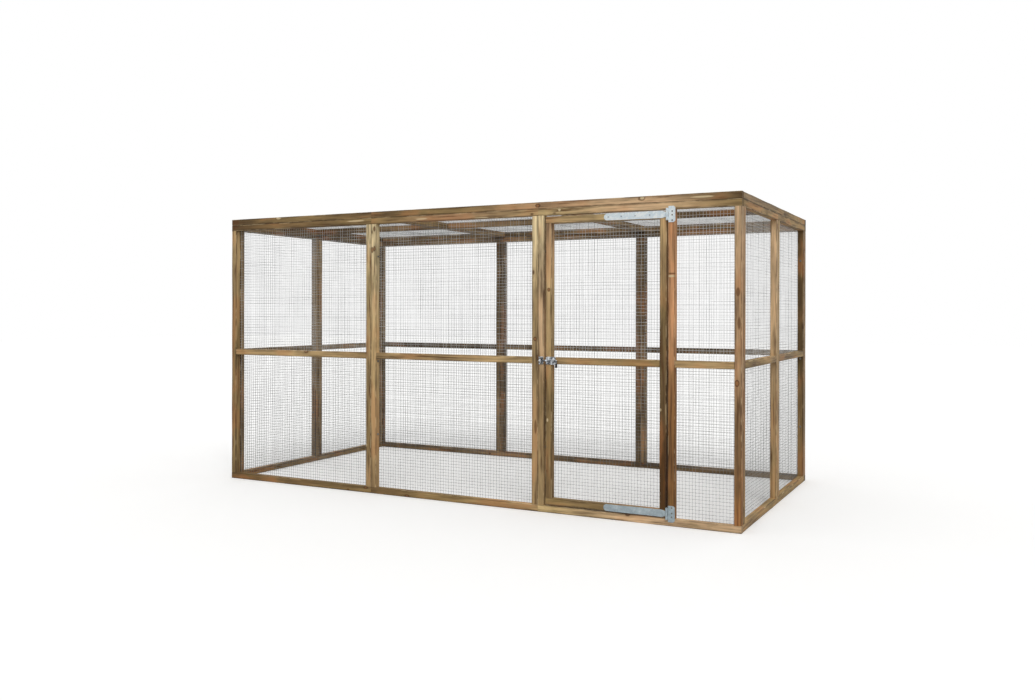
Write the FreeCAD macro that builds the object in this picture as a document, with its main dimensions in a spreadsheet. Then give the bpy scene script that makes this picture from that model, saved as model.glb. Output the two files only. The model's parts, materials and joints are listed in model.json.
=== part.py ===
import FreeCAD, Part
import os

# A walk-in run of framed wire panels: three along the front and the back, two at each end and
# three for the roof, with a door hung on tee hinges and held by a sliding bolt.
# The origin is the middle of the footprint, +X runs along the length, the door faces -Y, +Z is up.

# Driving dimensions, in millimetres
DIMENSIONS = {
    # Whole run, over the timber
    "run_length": 3630,
    "run_depth": 1790,
    "run_height": 1830,
    # Frame timber: width of its face and thickness of the panel
    "timber_width": 40,
    "timber_depth": 40,
    # Space between one panel and the next
    "panel_gap": 0.3,
    # Welded mesh: pitch, wire, greatest lap onto the timber, space between the two wire layers
    "mesh_pitch": 19.05,
    "wire_diameter": 1.5,
    "mesh_lap": 14,
    "layer_gap": 0.05,
    # Door and the gaps around it
    "door_width": 742,
    "latch_gap": 10,
    "hinge_gap": 8,
    "door_gap": 7,
    # Tee hinge: strap, flange, knuckle and pin
    "strap_length": 376,
    "strap_width": 40,
    "strap_tip_width": 38,
    "strap_neck": 30,
    "flange_width": 46,
    "flange_height": 90,
    "flange_corner": 9,
    "hinge_plate": 3,
    "pin_diameter": 7,
    "pin_head_diameter": 10,
    "pin_head_height": 2.5,
    "knuckle_wall": 3,
    "knuckle_height": 26,
    "flange_knuckle": 18,
    "knuckle_gap": 0.5,
    "knuckle_standoff": 0.5,
    "running_clearance": 0.05,
    # Sliding bolt: plate, guides, rod, handle, knob and keeper
    "latch_plate": 2,
    "latch_plate_width": 62,
    "latch_plate_height": 46,
    "latch_inset": 4,
    "guide_width": 10,
    "guide_wall": 2.5,
    "guide_inset": 3,
    "guide_pitch": 18,
    "rod_diameter": 10,
    "rod_length": 92,
    "rod_standoff": 4,
    "rod_tip_gap": 8,
    "rod_clearance": 0.08,
    "handle_diameter": 8,
    "handle_drop": 36,
    "knob_diameter": 14,
    "knob_length": 24,
    "knob_end": 5,
    "keeper_width": 30,
    "keeper_inset": 3,
    "keeper_loop": 14,
    "keeper_clearance": 3,
    # Screws that hold the hinges and the bolt
    "screw_diameter": 4.5,
    "screw_length": 32,
    "screw_head_diameter": 9,
    "screw_head_height": 2.4,
    # Hexagon-headed screws that hold the panels together
    "coach_diameter": 6,
    "coach_length": 70,
    "coach_head_width": 15,
    "coach_head_height": 4,
    # Holes: radial clearance, room past a screw's tip, overrun of every cut
    "hole_clearance": 0.05,
    "tip_room": 1,
    "cut_overrun": 1,
}

# How many panels make up each wall
PANELS_ALONG = 3
PANELS_DEEP = 2

# Where the fixings sit, as shares of the piece that carries them
WALL_SCREW_SHARES = (0.215, 0.48, 0.86)
ROOF_SCREW_SHARES = (0.2, 0.8)
STRAP_SCREW_SHARES = (0.27, 0.5, 0.72, 0.93)
FLANGE_SCREW_SHARES = (-0.38, -0.05, 0.18)
FLANGE_SCREW_WIDTH_SHARE = 0.62
LATCH_SCREW_WIDTH_SHARES = (0.1, 0.45)
LATCH_SCREW_HEIGHT_SHARES = (-0.35, 0.35)

# Width of a wood screw's head at its crown, as a share of its width at the plate
SCREW_CROWN_SHARE = 0.65

doc = FreeCAD.newDocument("pet_run")
dims = doc.addObject("Spreadsheet::Sheet", "dims")
for row, (alias, millimetres) in enumerate(DIMENSIONS.items(), start=1):
    dims.set(f"A{row}", alias)
    dims.set(f"B{row}", str(millimetres))
    dims.setAlias(f"B{row}", alias)
doc.recompute()

# Sizes that follow from the driving dimensions, as expressions over the sheet
MESH_DEPTH = "(2 * dims.wire_diameter + dims.layer_gap)"
PANEL_WIDTH = f"((dims.run_length - {PANELS_ALONG - 1} * dims.panel_gap) / {PANELS_ALONG})"
PANEL_PITCH = f"({PANEL_WIDTH} + dims.panel_gap)"
WALL_HEIGHT = f"(dims.run_height - dims.timber_depth - dims.panel_gap - {MESH_DEPTH})"
SIDE_END = f"(dims.run_depth / 2 - dims.timber_depth - {MESH_DEPTH})"
SIDE_WIDTH = f"((2 * {SIDE_END} - {PANELS_DEEP - 1} * dims.panel_gap) / {PANELS_DEEP})"
SIDE_PITCH = f"({SIDE_WIDTH} + dims.panel_gap)"
DOOR_PANEL_LEFT = f"(dims.run_length / 2 - {PANEL_WIDTH})"
DOOR_LEFT = "(dims.timber_width + dims.latch_gap)"
DOOR_BOTTOM = "(dims.timber_width + dims.door_gap)"
DOOR_HEIGHT = f"({WALL_HEIGHT} - 2 * {DOOR_BOTTOM})"
POST_LEFT = f"({DOOR_LEFT} + dims.door_width + dims.hinge_gap)"
POST_RIGHT = f"({POST_LEFT} + dims.timber_width)"
PIN_LEFT = f"({POST_LEFT} - dims.hinge_gap / 2)"
BORE_RADIUS = "(dims.pin_diameter / 2 + dims.running_clearance)"
KNUCKLE_RADIUS = f"({BORE_RADIUS} + dims.knuckle_wall)"
KNUCKLE_REACH = f"({KNUCKLE_RADIUS} + dims.knuckle_gap)"
PIN_DEPTH = f"({KNUCKLE_RADIUS} + dims.knuckle_standoff)"
HINGE_HEIGHTS = {
    "bottom": f"({DOOR_BOTTOM} + dims.timber_width / 2)",
    "top": f"({DOOR_BOTTOM} + {DOOR_HEIGHT} - dims.timber_width / 2)",
}
LATCH_HEIGHT = f"({WALL_HEIGHT} / 2)"
LATCH_PLATE_LEFT = f"({DOOR_LEFT} + dims.latch_inset)"
ROD_DEPTH = "(dims.latch_plate + dims.rod_standoff + dims.rod_diameter / 2)"
KEEPER_MIDDLE = "(dims.timber_width - dims.keeper_inset - dims.keeper_width / 2)"
ROD_TIP = f"({KEEPER_MIDDLE} + dims.keeper_loop / 2 + dims.rod_tip_gap)"
HANDLE_LEFT = f"({ROD_TIP} + dims.rod_length - dims.handle_diameter / 2)"
SCREW_HOLE = "(dims.screw_diameter / 2 + dims.hole_clearance)"
COACH_HOLE = "(dims.coach_diameter / 2 + dims.hole_clearance)"

# Directions that a bar or a screw points: axis and angle that turn +Z to it, and its unit vector
DIRECTIONS = {
    "+x": ((0, 1, 0), 90, (1, 0, 0)),
    "-x": ((0, 1, 0), -90, (-1, 0, 0)),
    "+y": ((1, 0, 0), -90, (0, 1, 0)),
    "-y": ((1, 0, 0), 90, (0, -1, 0)),
    "+z": ((0, 0, 1), 0, (0, 0, 1)),
    "-z": ((1, 0, 0), 180, (0, 0, -1)),
}

# Turns that bring a panel, drawn with its outside at y = 0 and its inside towards +y, to its wall
NO_TURN = FreeCAD.Rotation()
BACK_TURN = FreeCAD.Rotation(FreeCAD.Vector(0, 0, 1), 180)
LEFT_TURN = FreeCAD.Rotation(FreeCAD.Vector(0, 0, 1), -90)
RIGHT_TURN = FreeCAD.Rotation(FreeCAD.Vector(0, 0, 1), 90)
ROOF_TURN = FreeCAD.Rotation(FreeCAD.Vector(1, 0, 0), -90)

nodes = []
groups = {}


def value(expression):
    """The number that an expression over the sheet comes to."""
    return float(dims.evalExpression(expression))


def place(thing, spot, turn=NO_TURN):
    """Turn a document object and bind its position to three expressions."""
    thing.Placement = FreeCAD.Placement(FreeCAD.Vector(), turn)
    for axis, expression in zip("xyz", spot):
        thing.setExpression(".Placement.Base." + axis, expression)
    return thing


def node(label, members, spot, turn=NO_TURN):
    """One sub-part of the run: a group of separate solids, or a single one, in its place."""
    thing = doc.addObject("Part::Compound", label)
    thing.Label = label
    thing.Links = members
    nodes.append(place(thing, spot, turn))
    return thing


def gather(group, members, spot, turn=NO_TURN):
    """Put some pieces in their panel's place and keep them for the sub-part they belong to."""
    thing = doc.addObject("Part::Compound", "placed")
    thing.Links = members
    groups.setdefault(group, []).append(place(thing, spot, turn))


def box(corner, extent):
    """A block from its low corner and its three lengths."""
    thing = doc.addObject("Part::Box", "block")
    for name, expression in zip(("Length", "Width", "Height"), extent):
        thing.setExpression(name, expression)
    return place(thing, corner)


def pointed(thing, start, direction, back="0"):
    """Point a shape drawn along +Z in a direction, from a start point or some way back from it."""
    axis, angle, unit = DIRECTIONS[direction]
    spot = [f"{expression} - ({step}) * {back}" for expression, step in zip(start, unit)]
    return place(thing, spot, FreeCAD.Rotation(FreeCAD.Vector(*axis), angle))


def bar(start, direction, radius, length, back="0"):
    """A round bar."""
    thing = doc.addObject("Part::Cylinder", "bar")
    thing.setExpression("Radius", radius)
    thing.setExpression("Height", f"{length} + {back}")
    return pointed(thing, start, direction, back)


def hole(start, direction, radius, depth):
    """A drill that enters a face at the start point and goes as deep as it is told."""
    return bar(start, direction, radius, depth, "dims.cut_overrun")


def tapered(left, right, width_left, width_right, near, far):
    """A flat plate along X between two depths, whose height runs from one width to another."""
    thing = doc.addObject("Part::Wedge", "taper")
    sizes = {
        "Xmin": near, "Xmax": far, "X2min": near, "X2max": far,
        "Ymin": f"-({right})", "Ymax": f"-({left})",
        "Zmin": f"-{width_right} / 2", "Zmax": f"{width_right} / 2",
        "Z2min": f"-{width_left} / 2", "Z2max": f"{width_left} / 2",
    }
    for name, expression in sizes.items():
        thing.setExpression(name, expression)
    thing.Placement = FreeCAD.Placement(FreeCAD.Vector(), RIGHT_TURN)
    return thing


def fused(members):
    """One solid from several that run into each other."""
    thing = doc.addObject("Part::MultiFuse", "joined")
    thing.Shapes = members
    return thing


def drilled(blank, holes):
    """A blank with its holes cut out, or the blank itself where it has none."""
    if not holes:
        return blank
    tools = doc.addObject("Part::Compound", "drills")
    tools.Links = holes
    thing = doc.addObject("Part::Cut", "drilled")
    thing.Base = blank
    thing.Tool = tools
    return thing


def screw_pattern(name, diameter, length, head):
    """A screw that points along +Z, with the underside of its head at the origin."""
    tip = doc.addObject("Part::Cone", name + "_tip")
    tip.setExpression("Radius1", f"{diameter} / 2")
    tip.Radius2 = 0
    tip.setExpression("Height", diameter)
    place(tip, ("0", "0", f"{length} - {diameter}"))
    shank = bar(("0", "0", "0"), "+z", f"{diameter} / 2", f"({length} - {diameter})")
    pattern = fused([head, shank, tip])
    pattern.Label = name
    return pattern


def wood_screw():
    """The screw of the hinges and the bolt, with a low tapered head."""
    head = doc.addObject("Part::Cone", "wood_screw_head")
    head.setExpression("Radius1", f"{SCREW_CROWN_SHARE} * dims.screw_head_diameter / 2")
    head.setExpression("Radius2", "dims.screw_head_diameter / 2")
    head.setExpression("Height", "dims.screw_head_height")
    place(head, ("0", "0", "-dims.screw_head_height"))
    return screw_pattern("wood_screw", "dims.screw_diameter", "dims.screw_length", head)


def coach_screw():
    """The screw of the panels, with a hexagon head."""
    head = doc.addObject("Part::Prism", "coach_screw_head")
    head.Polygon = 6
    head.setExpression("Circumradius", "dims.coach_head_width / 2")
    head.setExpression("Height", "dims.coach_head_height")
    place(head, ("0", "0", "-dims.coach_head_height"))
    return screw_pattern("coach_screw", "dims.coach_diameter", "dims.coach_length", head)


def screw(pattern, start, direction):
    """One copy of a screw with its head's underside at the start point."""
    copy = doc.addObject("App::Link", "screw")
    copy.setLink(pattern)
    return pointed(copy, start, direction)


def stile(left, bottom, height, holes=()):
    """An upright of a panel, between its bottom and top rails."""
    corner = (left, "0", f"{bottom} + dims.timber_width")
    extent = ("dims.timber_width", "dims.timber_depth", f"{height} - 2 * dims.timber_width")
    return drilled(box(corner, extent), list(holes))


def rail(left, bottom, length, holes=()):
    """A level timber of a panel."""
    blank = box((left, "0", bottom), (length, "dims.timber_depth", "dims.timber_width"))
    return drilled(blank, list(holes))


def ladder(across, along, bays, near, flip):
    """One layer of the mesh: parallel wires, tied at both ends by a wire along the sheet's edge."""
    pitch = value("dims.mesh_pitch")
    wire = value("dims.wire_diameter")

    def corner(a, b):
        return FreeCAD.Vector(b, near, a) if flip else FreeCAD.Vector(a, near, b)

    def loop(a_low, a_high, b_low, b_high):
        corners = [(a_low, b_low), (a_high, b_low), (a_high, b_high), (a_low, b_high), (a_low, b_low)]
        return Part.makePolygon([corner(a, b) for a, b in corners])

    loops = [loop(0, across, 0, along)]
    for bay in range(bays):
        loops.append(loop(bay * pitch + wire, (bay + 1) * pitch, wire, along - wire))
    face = Part.makeFace(loops, "Part::FaceMakerCheese")
    return face.extrude(FreeCAD.Vector(0, wire, 0))


def mesh(label, left, bottom, width, height, spot, turn=NO_TURN, near="dims.timber_depth"):
    """A sheet of welded mesh that laps onto the timbers around an opening.

    The sheet is cut on a wire, so its size is a whole number of pitches and it is centred. Its near face
    is on the timbers' inside face, unless another depth is given.
    """
    pitch = value("dims.mesh_pitch")
    wire = value("dims.wire_diameter")
    lap = value("dims.mesh_lap")
    bays_across = int((value(width) + 2 * lap - wire) / pitch)
    bays_up = int((value(height) + 2 * lap - wire) / pitch)
    across = bays_across * pitch + wire
    up = bays_up * pitch + wire
    sheet = doc.addObject("Part::Feature", label + "_sheet")
    sheet.Shape = Part.makeCompound([
        ladder(across, up, bays_across, 0, False),
        ladder(up, across, bays_up, wire + value("dims.layer_gap"), True),
    ])
    sheet.Placement = FreeCAD.Placement()
    sheet.setExpression(".Placement.Base.x", f"{left} + {width} / 2 - {across} / 2")
    sheet.setExpression(".Placement.Base.y", near)
    sheet.setExpression(".Placement.Base.z", f"{bottom} + {height} / 2 - {up} / 2")
    return node(label, [sheet], spot, turn)


def wall_screw_heights():
    """Heights of the screws in an upright."""
    return [f"{share} * {WALL_HEIGHT}" for share in WALL_SCREW_SHARES]


def fixed_stile(left, fixing, outward):
    """An upright of a wall panel with the holes of its fixing.

    Args:
        left: where its left face is.
        fixing: "head" where a screw's head sits on its inner edge, "tip" where the next panel's
            screw bites into its outer edge, "corner" where an end wall's screw bites into its
            inside face.
        outward: "-x" for the panel's left upright, "+x" for its right one.

    Returns:
        The upright and the screws whose heads it carries.
    """
    on_left = outward == "-x"
    outer_edge = left if on_left else f"{left} + dims.timber_width"
    inner_edge = f"{left} + dims.timber_width" if on_left else left
    corner_line = f"{left} + dims.timber_depth / 2" if on_left else (
        f"{left} + dims.timber_width - dims.timber_depth / 2")
    inward = "+x" if on_left else "-x"
    middle = "dims.timber_depth / 2"
    holes = []
    screws = []
    for height in wall_screw_heights():
        if fixing == "head":
            start = (inner_edge, middle, height)
            holes.append(hole(start, outward, COACH_HOLE, "dims.coach_length"))
            screws.append(screw(coach, start, outward))
        elif fixing == "tip":
            bite = "dims.coach_length - dims.timber_width - dims.panel_gap + dims.tip_room"
            holes.append(hole((outer_edge, middle, height), inward, COACH_HOLE, bite))
        else:
            bite = f"dims.coach_length - dims.timber_width - {MESH_DEPTH} + dims.tip_room"
            start = (corner_line, "dims.timber_depth", height)
            holes.append(hole(start, "-y", COACH_HOLE, bite))
    return stile(left, "0", WALL_HEIGHT, holes), screws


def roof_holes(width):
    """Holes that the roof's screws need in the top of a wall panel's top rail."""
    bite = ("dims.coach_length + dims.coach_head_height - dims.timber_depth - dims.panel_gap"
            " + dims.tip_room")
    return [hole((f"{share} * {width}", "dims.timber_depth / 2", WALL_HEIGHT), "-z", COACH_HOLE, bite)
            for share in ROOF_SCREW_SHARES]


def wall_panel(wall, name, width, spot, turn, left, right):
    """A plain wall panel: two uprights, three rails and a sheet of mesh.

    Args:
        wall: the wall's name, which its rails are gathered under.
        name: the panel's name, which its mesh goes by.
        width: the panel's width.
        spot: where its lower left corner is, seen from outside.
        turn: the turn that brings it to its wall.
        left: the fixing of its left upright, and the group that the upright is kept with.
        right: the same for its right upright.
    """
    inner_width = f"({width} - 2 * dims.timber_width)"
    inner_height = f"({WALL_HEIGHT} - 2 * dims.timber_width)"
    far = f"({width} - dims.timber_width)"
    for place_left, outward, (fixing, group) in (("0", "-x", left), (far, "+x", right)):
        upright, screws = fixed_stile(place_left, fixing, outward)
        gather(group, [upright], spot, turn)
        if screws:
            gather("wall_screws", screws, spot, turn)
    top_holes = roof_holes(width) if wall in ("front", "back") else []
    middle = rail("dims.timber_width", f"({WALL_HEIGHT} - dims.timber_width) / 2", inner_width)
    top = rail("0", f"{WALL_HEIGHT} - dims.timber_width", width, top_holes)
    gather(f"{wall}_bottom_rails", [rail("0", "0", width)], spot, turn)
    gather(f"{wall}_mid_rails", [middle], spot, turn)
    gather(f"{wall}_eaves_timbers", [top], spot, turn)
    mesh(name + "_mesh", "dims.timber_width", "dims.timber_width", inner_width, inner_height, spot, turn)


def roof_panel(name, spot, left_group, right_group):
    """A roof panel, laid on the walls with its mesh on top."""
    inner_width = f"({PANEL_WIDTH} - 2 * dims.timber_width)"
    inner_height = "(dims.run_depth - 2 * dims.timber_width)"
    far = f"({PANEL_WIDTH} - dims.timber_width)"
    for place_left, group in (("0", left_group), (far, right_group)):
        gather(group, [stile(place_left, "0", "dims.run_depth")], spot, ROOF_TURN)
    edges = {
        "front": ("0", "dims.timber_depth / 2"),
        "back": ("(dims.run_depth - dims.timber_width)", "(dims.run_depth - dims.timber_depth / 2)"),
    }
    for wall, (bottom, line) in edges.items():
        holes = []
        screws = []
        for share in ROOF_SCREW_SHARES:
            across = f"{share} * {PANEL_WIDTH}"
            start = (across, "dims.coach_head_height", line)
            sink = "dims.coach_head_width / 2 + dims.hole_clearance"
            holes.append(hole(start, "+y", COACH_HOLE, "dims.coach_length"))
            holes.append(hole((across, "0", line), "+y", sink, "dims.coach_head_height"))
            screws.append(screw(coach, start, "+y"))
        gather(f"{wall}_eaves_timbers", [rail("0", bottom, PANEL_WIDTH, holes)], spot, ROOF_TURN)
        gather("roof_screws", screws, spot, ROOF_TURN)
    middle = rail("dims.timber_width", "(dims.run_depth - dims.timber_width) / 2", inner_width)
    gather("roof_mid_rails", [middle], spot, ROOF_TURN)
    mesh(name + "_mesh", "dims.timber_width", "dims.timber_width", inner_width, inner_height, spot, ROOF_TURN,
         f"-{MESH_DEPTH}")


def flange_screw_spots(end):
    """Where a hinge's flange is screwed to the door post, in the door panel's frame."""
    side = 1 if end == "top" else -1
    across = f"{PIN_LEFT} + {FLANGE_SCREW_WIDTH_SHARE} * dims.flange_width"
    return [(across, f"{HINGE_HEIGHTS[end]} + ({side * share}) * dims.flange_height")
            for share in FLANGE_SCREW_SHARES]


def strap_screw_spots(end):
    """Where a hinge's strap is screwed to the door's rail, in the door panel's frame."""
    return [(f"{PIN_LEFT} - {share} * dims.strap_length", HINGE_HEIGHTS[end])
            for share in STRAP_SCREW_SHARES]


def keeper_screw_spots():
    """Where the bolt's keeper is screwed to the door panel's left upright."""
    return [(KEEPER_MIDDLE, f"{LATCH_HEIGHT} + ({share}) * dims.latch_plate_height")
            for share in LATCH_SCREW_HEIGHT_SHARES]


def latch_screw_spots():
    """Where the bolt's plate is screwed to the door's upright."""
    return [(f"{LATCH_PLATE_LEFT} + {across} * dims.latch_plate_width",
             f"{LATCH_HEIGHT} + ({up}) * dims.latch_plate_height")
            for across in LATCH_SCREW_WIDTH_SHARES for up in LATCH_SCREW_HEIGHT_SHARES]


def face_holes(spots, plate):
    """Pilot holes behind a plate screwed to the front face of a timber."""
    depth = f"dims.screw_length - {plate} + dims.tip_room"
    return [hole((x, "0", z), "+y", SCREW_HOLE, depth) for x, z in spots]


def plate_holes(spots, near, plate):
    """Holes through a plate whose outside lies at a given depth."""
    return [hole((x, near, z), "+y", SCREW_HOLE, f"{plate} + dims.cut_overrun") for x, z in spots]


def face_screws(spots, plate):
    """Screws through a plate into the front face of a timber."""
    return [screw(wood, (x, f"-{plate}", z), "+y") for x, z in spots]


def door_panel(spot):
    """The front panel that holds the door: its frame, the door post and the narrow mesh beside it."""
    left, left_screws = fixed_stile("0", "head", "-x")
    left = drilled(left, face_holes(keeper_screw_spots(), "dims.latch_plate"))
    right, _ = fixed_stile(f"({PANEL_WIDTH} - dims.timber_width)", "corner", "+x")
    gather("front_right_join_stiles", [left], spot)
    gather("front_right_corner_stiles", [right], spot)
    gather("wall_screws", left_screws, spot)
    spots = flange_screw_spots("bottom") + flange_screw_spots("top")
    post = stile(POST_LEFT, "0", WALL_HEIGHT, face_holes(spots, "dims.hinge_plate"))
    node("door_post", [post], spot)
    side_width = f"({PANEL_WIDTH} - dims.timber_width - {POST_RIGHT})"
    inner_height = f"({WALL_HEIGHT} - 2 * dims.timber_width)"
    top = rail("0", f"{WALL_HEIGHT} - dims.timber_width", PANEL_WIDTH, roof_holes(PANEL_WIDTH))
    gather("front_bottom_rails", [rail("0", "0", PANEL_WIDTH)], spot)
    gather("front_eaves_timbers", [top], spot)
    beside = rail(POST_RIGHT, f"({WALL_HEIGHT} - dims.timber_width) / 2", side_width)
    node("beside_door_rail", [beside], spot)
    mesh("beside_door_mesh", POST_RIGHT, "dims.timber_width", side_width, inner_height, spot)


def door(spot):
    """The door's frame and mesh, in the door panel's frame."""
    inner_width = "(dims.door_width - 2 * dims.timber_width)"
    inner_left = f"({DOOR_LEFT} + dims.timber_width)"
    inner_height = f"({DOOR_HEIGHT} - 2 * dims.timber_width)"
    hinge_stile_left = f"({DOOR_LEFT} + dims.door_width - dims.timber_width)"
    latch_holes = face_holes(latch_screw_spots(), "dims.latch_plate")
    node("door_latch_stile", [stile(DOOR_LEFT, DOOR_BOTTOM, DOOR_HEIGHT, latch_holes)], spot)
    node("door_hinge_stile", [stile(hinge_stile_left, DOOR_BOTTOM, DOOR_HEIGHT)], spot)
    top_rail_bottom = f"{DOOR_BOTTOM} + {DOOR_HEIGHT} - dims.timber_width"
    for end, bottom in (("bottom", DOOR_BOTTOM), ("top", top_rail_bottom)):
        holes = face_holes(strap_screw_spots(end), "dims.hinge_plate")
        node(f"door_{end}_rail", [rail(DOOR_LEFT, bottom, "dims.door_width", holes)], spot)
    node("door_mid_rail", [rail(inner_left, f"({WALL_HEIGHT} - dims.timber_width) / 2", inner_width)], spot)
    mesh("door_mesh", inner_left, f"({DOOR_BOTTOM} + dims.timber_width)", inner_width, inner_height, spot)


def hinge(end, spot):
    """A tee hinge: strap, flange and pin, drawn about the pin at the height of the strap."""
    centre = [f"{spot[0]} + {PIN_LEFT}", f"{spot[1]} - {PIN_DEPTH}", f"{spot[2]} + {HINGE_HEIGHTS[end]}"]
    near = f"({PIN_DEPTH} - dims.hinge_plate)"
    half = "(dims.knuckle_height / 2)"
    reach = f"({half} + dims.knuckle_gap + dims.flange_knuckle)"
    axis_low = ("0", "0", f"-{reach}")
    bore = bar(axis_low, "+z", BORE_RADIUS, f"2 * {reach}")

    def local(spots):
        return [(f"{x} - {PIN_LEFT}", f"{z} - {HINGE_HEIGHTS[end]}") for x, z in spots]

    tip_radius = "(dims.strap_tip_width / 2)"
    tip_centre = f"({tip_radius} - dims.strap_length)"
    strap = fused([
        bar(("0", "0", f"-{half}"), "+z", KNUCKLE_RADIUS, "dims.knuckle_height"),
        box((f"-{KNUCKLE_REACH}", near, f"-{half}"),
            (KNUCKLE_REACH, "dims.hinge_plate", "dims.knuckle_height")),
        tapered("-dims.strap_neck", f"-{KNUCKLE_REACH}", "dims.strap_width", "dims.knuckle_height",
                near, PIN_DEPTH),
        tapered(tip_centre, "-dims.strap_neck", "dims.strap_tip_width", "dims.strap_width", near, PIN_DEPTH),
        bar((tip_centre, near, "0"), "+y", tip_radius, "dims.hinge_plate"),
    ])
    holes = plate_holes(local(strap_screw_spots(end)), near, "dims.hinge_plate")
    node(f"hinge_strap_{end}", [drilled(strap, [bore] + holes)], centre)

    cut_from = "(dims.flange_width - dims.flange_corner)"
    pieces = [
        box((KNUCKLE_REACH, near, "-dims.flange_height / 2"),
            (f"{cut_from} - {KNUCKLE_REACH}", "dims.hinge_plate", "dims.flange_height")),
        tapered(cut_from, "dims.flange_width", "dims.flange_height",
                "(dims.flange_height - 2 * dims.flange_corner)", near, PIN_DEPTH),
    ]
    for low in (f"-{reach}", f"{half} + dims.knuckle_gap"):
        pieces.append(box(("0", near, low), (KNUCKLE_REACH, "dims.hinge_plate", "dims.flange_knuckle")))
        pieces.append(bar(("0", "0", low), "+z", KNUCKLE_RADIUS, "dims.flange_knuckle"))
    flange = fused(pieces)
    holes = plate_holes(local(flange_screw_spots(end)), near, "dims.hinge_plate")
    node(f"hinge_flange_{end}", [drilled(flange, [bore] + holes)], centre)

    head_radius = "dims.pin_head_diameter / 2"
    pin = fused([
        bar(axis_low, "+z", "dims.pin_diameter / 2", f"2 * {reach}"),
        bar(("0", "0", reach), "+z", head_radius, "dims.pin_head_height"),
        bar(axis_low, "-z", head_radius, "dims.pin_head_height"),
    ])
    node(f"hinge_pin_{end}", [pin], centre)


def saddle(left, width, inner_radius):
    """A strap bent over the bolt's rod, from the plate to its round top. Returns it and its bore."""
    outer_radius = f"({inner_radius} + dims.guide_wall)"
    legs = box((left, f"-{ROD_DEPTH}", f"{LATCH_HEIGHT} - {outer_radius}"),
               (width, f"{ROD_DEPTH} - dims.latch_plate / 2", f"2 * {outer_radius}"))
    crown = bar((left, f"-{ROD_DEPTH}", LATCH_HEIGHT), "+x", outer_radius, width)
    bore = hole((left, f"-{ROD_DEPTH}", LATCH_HEIGHT), "+x", inner_radius, f"{width} + dims.cut_overrun")
    return [legs, crown], bore


def latch_plate(left, width):
    """A flat plate on the front face of the timber, at the height of the bolt."""
    return box((left, "-dims.latch_plate", f"{LATCH_HEIGHT} - dims.latch_plate_height / 2"),
               (width, "dims.latch_plate", "dims.latch_plate_height"))


def bolt(spot):
    """The sliding bolt, drawn back just clear of its keeper, in the door panel's frame."""
    pieces = [latch_plate(LATCH_PLATE_LEFT, "dims.latch_plate_width")]
    bores = []
    for step in range(2):
        left = f"({LATCH_PLATE_LEFT} + dims.guide_inset + {step} * dims.guide_pitch)"
        guide, bore = saddle(left, "dims.guide_width", "(dims.rod_diameter / 2 + dims.rod_clearance)")
        pieces += guide
        bores.append(bore)
    holes = plate_holes(latch_screw_spots(), "-dims.latch_plate", "dims.latch_plate")
    node("bolt_plate", [drilled(fused(pieces), bores + holes)], spot)

    left = f"({KEEPER_MIDDLE} - dims.keeper_loop / 2)"
    loop, bore = saddle(left, "dims.keeper_loop", "(dims.rod_diameter / 2 + dims.keeper_clearance)")
    plate = latch_plate(f"({KEEPER_MIDDLE} - dims.keeper_width / 2)", "dims.keeper_width")
    holes = plate_holes(keeper_screw_spots(), "-dims.latch_plate", "dims.latch_plate")
    node("bolt_keeper", [drilled(fused([plate] + loop), [bore] + holes)], spot)

    elbow = (HANDLE_LEFT, f"-{ROD_DEPTH}", LATCH_HEIGHT)
    corner = doc.addObject("Part::Sphere", "elbow")
    corner.setExpression("Radius", "dims.rod_diameter / 2")
    rod = fused([
        bar((ROD_TIP, f"-{ROD_DEPTH}", LATCH_HEIGHT), "+x", "dims.rod_diameter / 2",
            f"({HANDLE_LEFT} - {ROD_TIP})"),
        place(corner, elbow),
        bar(elbow, "-z", "dims.handle_diameter / 2", "dims.handle_drop"),
    ])
    node("bolt_rod", [rod], spot)

    end = (elbow[0], elbow[1], f"{LATCH_HEIGHT} - dims.handle_drop - dims.knob_end")
    sleeve = bar(end, "+z", "dims.knob_diameter / 2", "dims.knob_length")
    socket = bar((end[0], end[1], f"{LATCH_HEIGHT} - dims.handle_drop"), "+z",
                 "dims.handle_diameter / 2 + dims.running_clearance", "dims.knob_length")
    node("bolt_knob", [drilled(sleeve, [socket])], spot)


coach = coach_screw()
wood = wood_screw()
home = ("0", "0", "0")
front = "-dims.run_depth / 2"
back = "dims.run_depth / 2"
left_end = "-dims.run_length / 2"
right_end = "dims.run_length / 2"
door_spot = (DOOR_PANEL_LEFT, front, "0")

# Walls, each panel placed by its lower left corner as seen from outside
front_left = ("corner", "front_left_corner_stiles"), ("tip", "front_left_join_stiles")
front_middle = ("head", "front_left_join_stiles"), ("tip", "front_right_join_stiles")
for step, (name, fixings) in enumerate((("front_left", front_left), ("front_middle", front_middle))):
    spot = (f"{left_end} + {step} * {PANEL_PITCH}", front, "0")
    wall_panel("front", name, PANEL_WIDTH, spot, NO_TURN, *fixings)
door_panel(door_spot)

back_right = ("corner", "back_right_corner_stiles"), ("tip", "back_right_join_stiles")
back_middle = ("head", "back_right_join_stiles"), ("tip", "back_left_join_stiles")
back_left = ("head", "back_left_join_stiles"), ("corner", "back_left_corner_stiles")
back_panels = (("back_right", back_right), ("back_middle", back_middle), ("back_left", back_left))
for step, (name, fixings) in enumerate(back_panels):
    spot = (f"{right_end} - {step} * {PANEL_PITCH}", back, "0")
    wall_panel("back", name, PANEL_WIDTH, spot, BACK_TURN, *fixings)

right_front = ("head", "front_right_corner_stiles"), ("tip", "right_join_stiles")
right_back = ("head", "right_join_stiles"), ("head", "back_right_corner_stiles")
for step, (name, fixings) in enumerate((("right_front", right_front), ("right_back", right_back))):
    spot = (right_end, f"{step} * {SIDE_PITCH} - {SIDE_END}", "0")
    wall_panel("right", name, SIDE_WIDTH, spot, RIGHT_TURN, *fixings)

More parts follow.
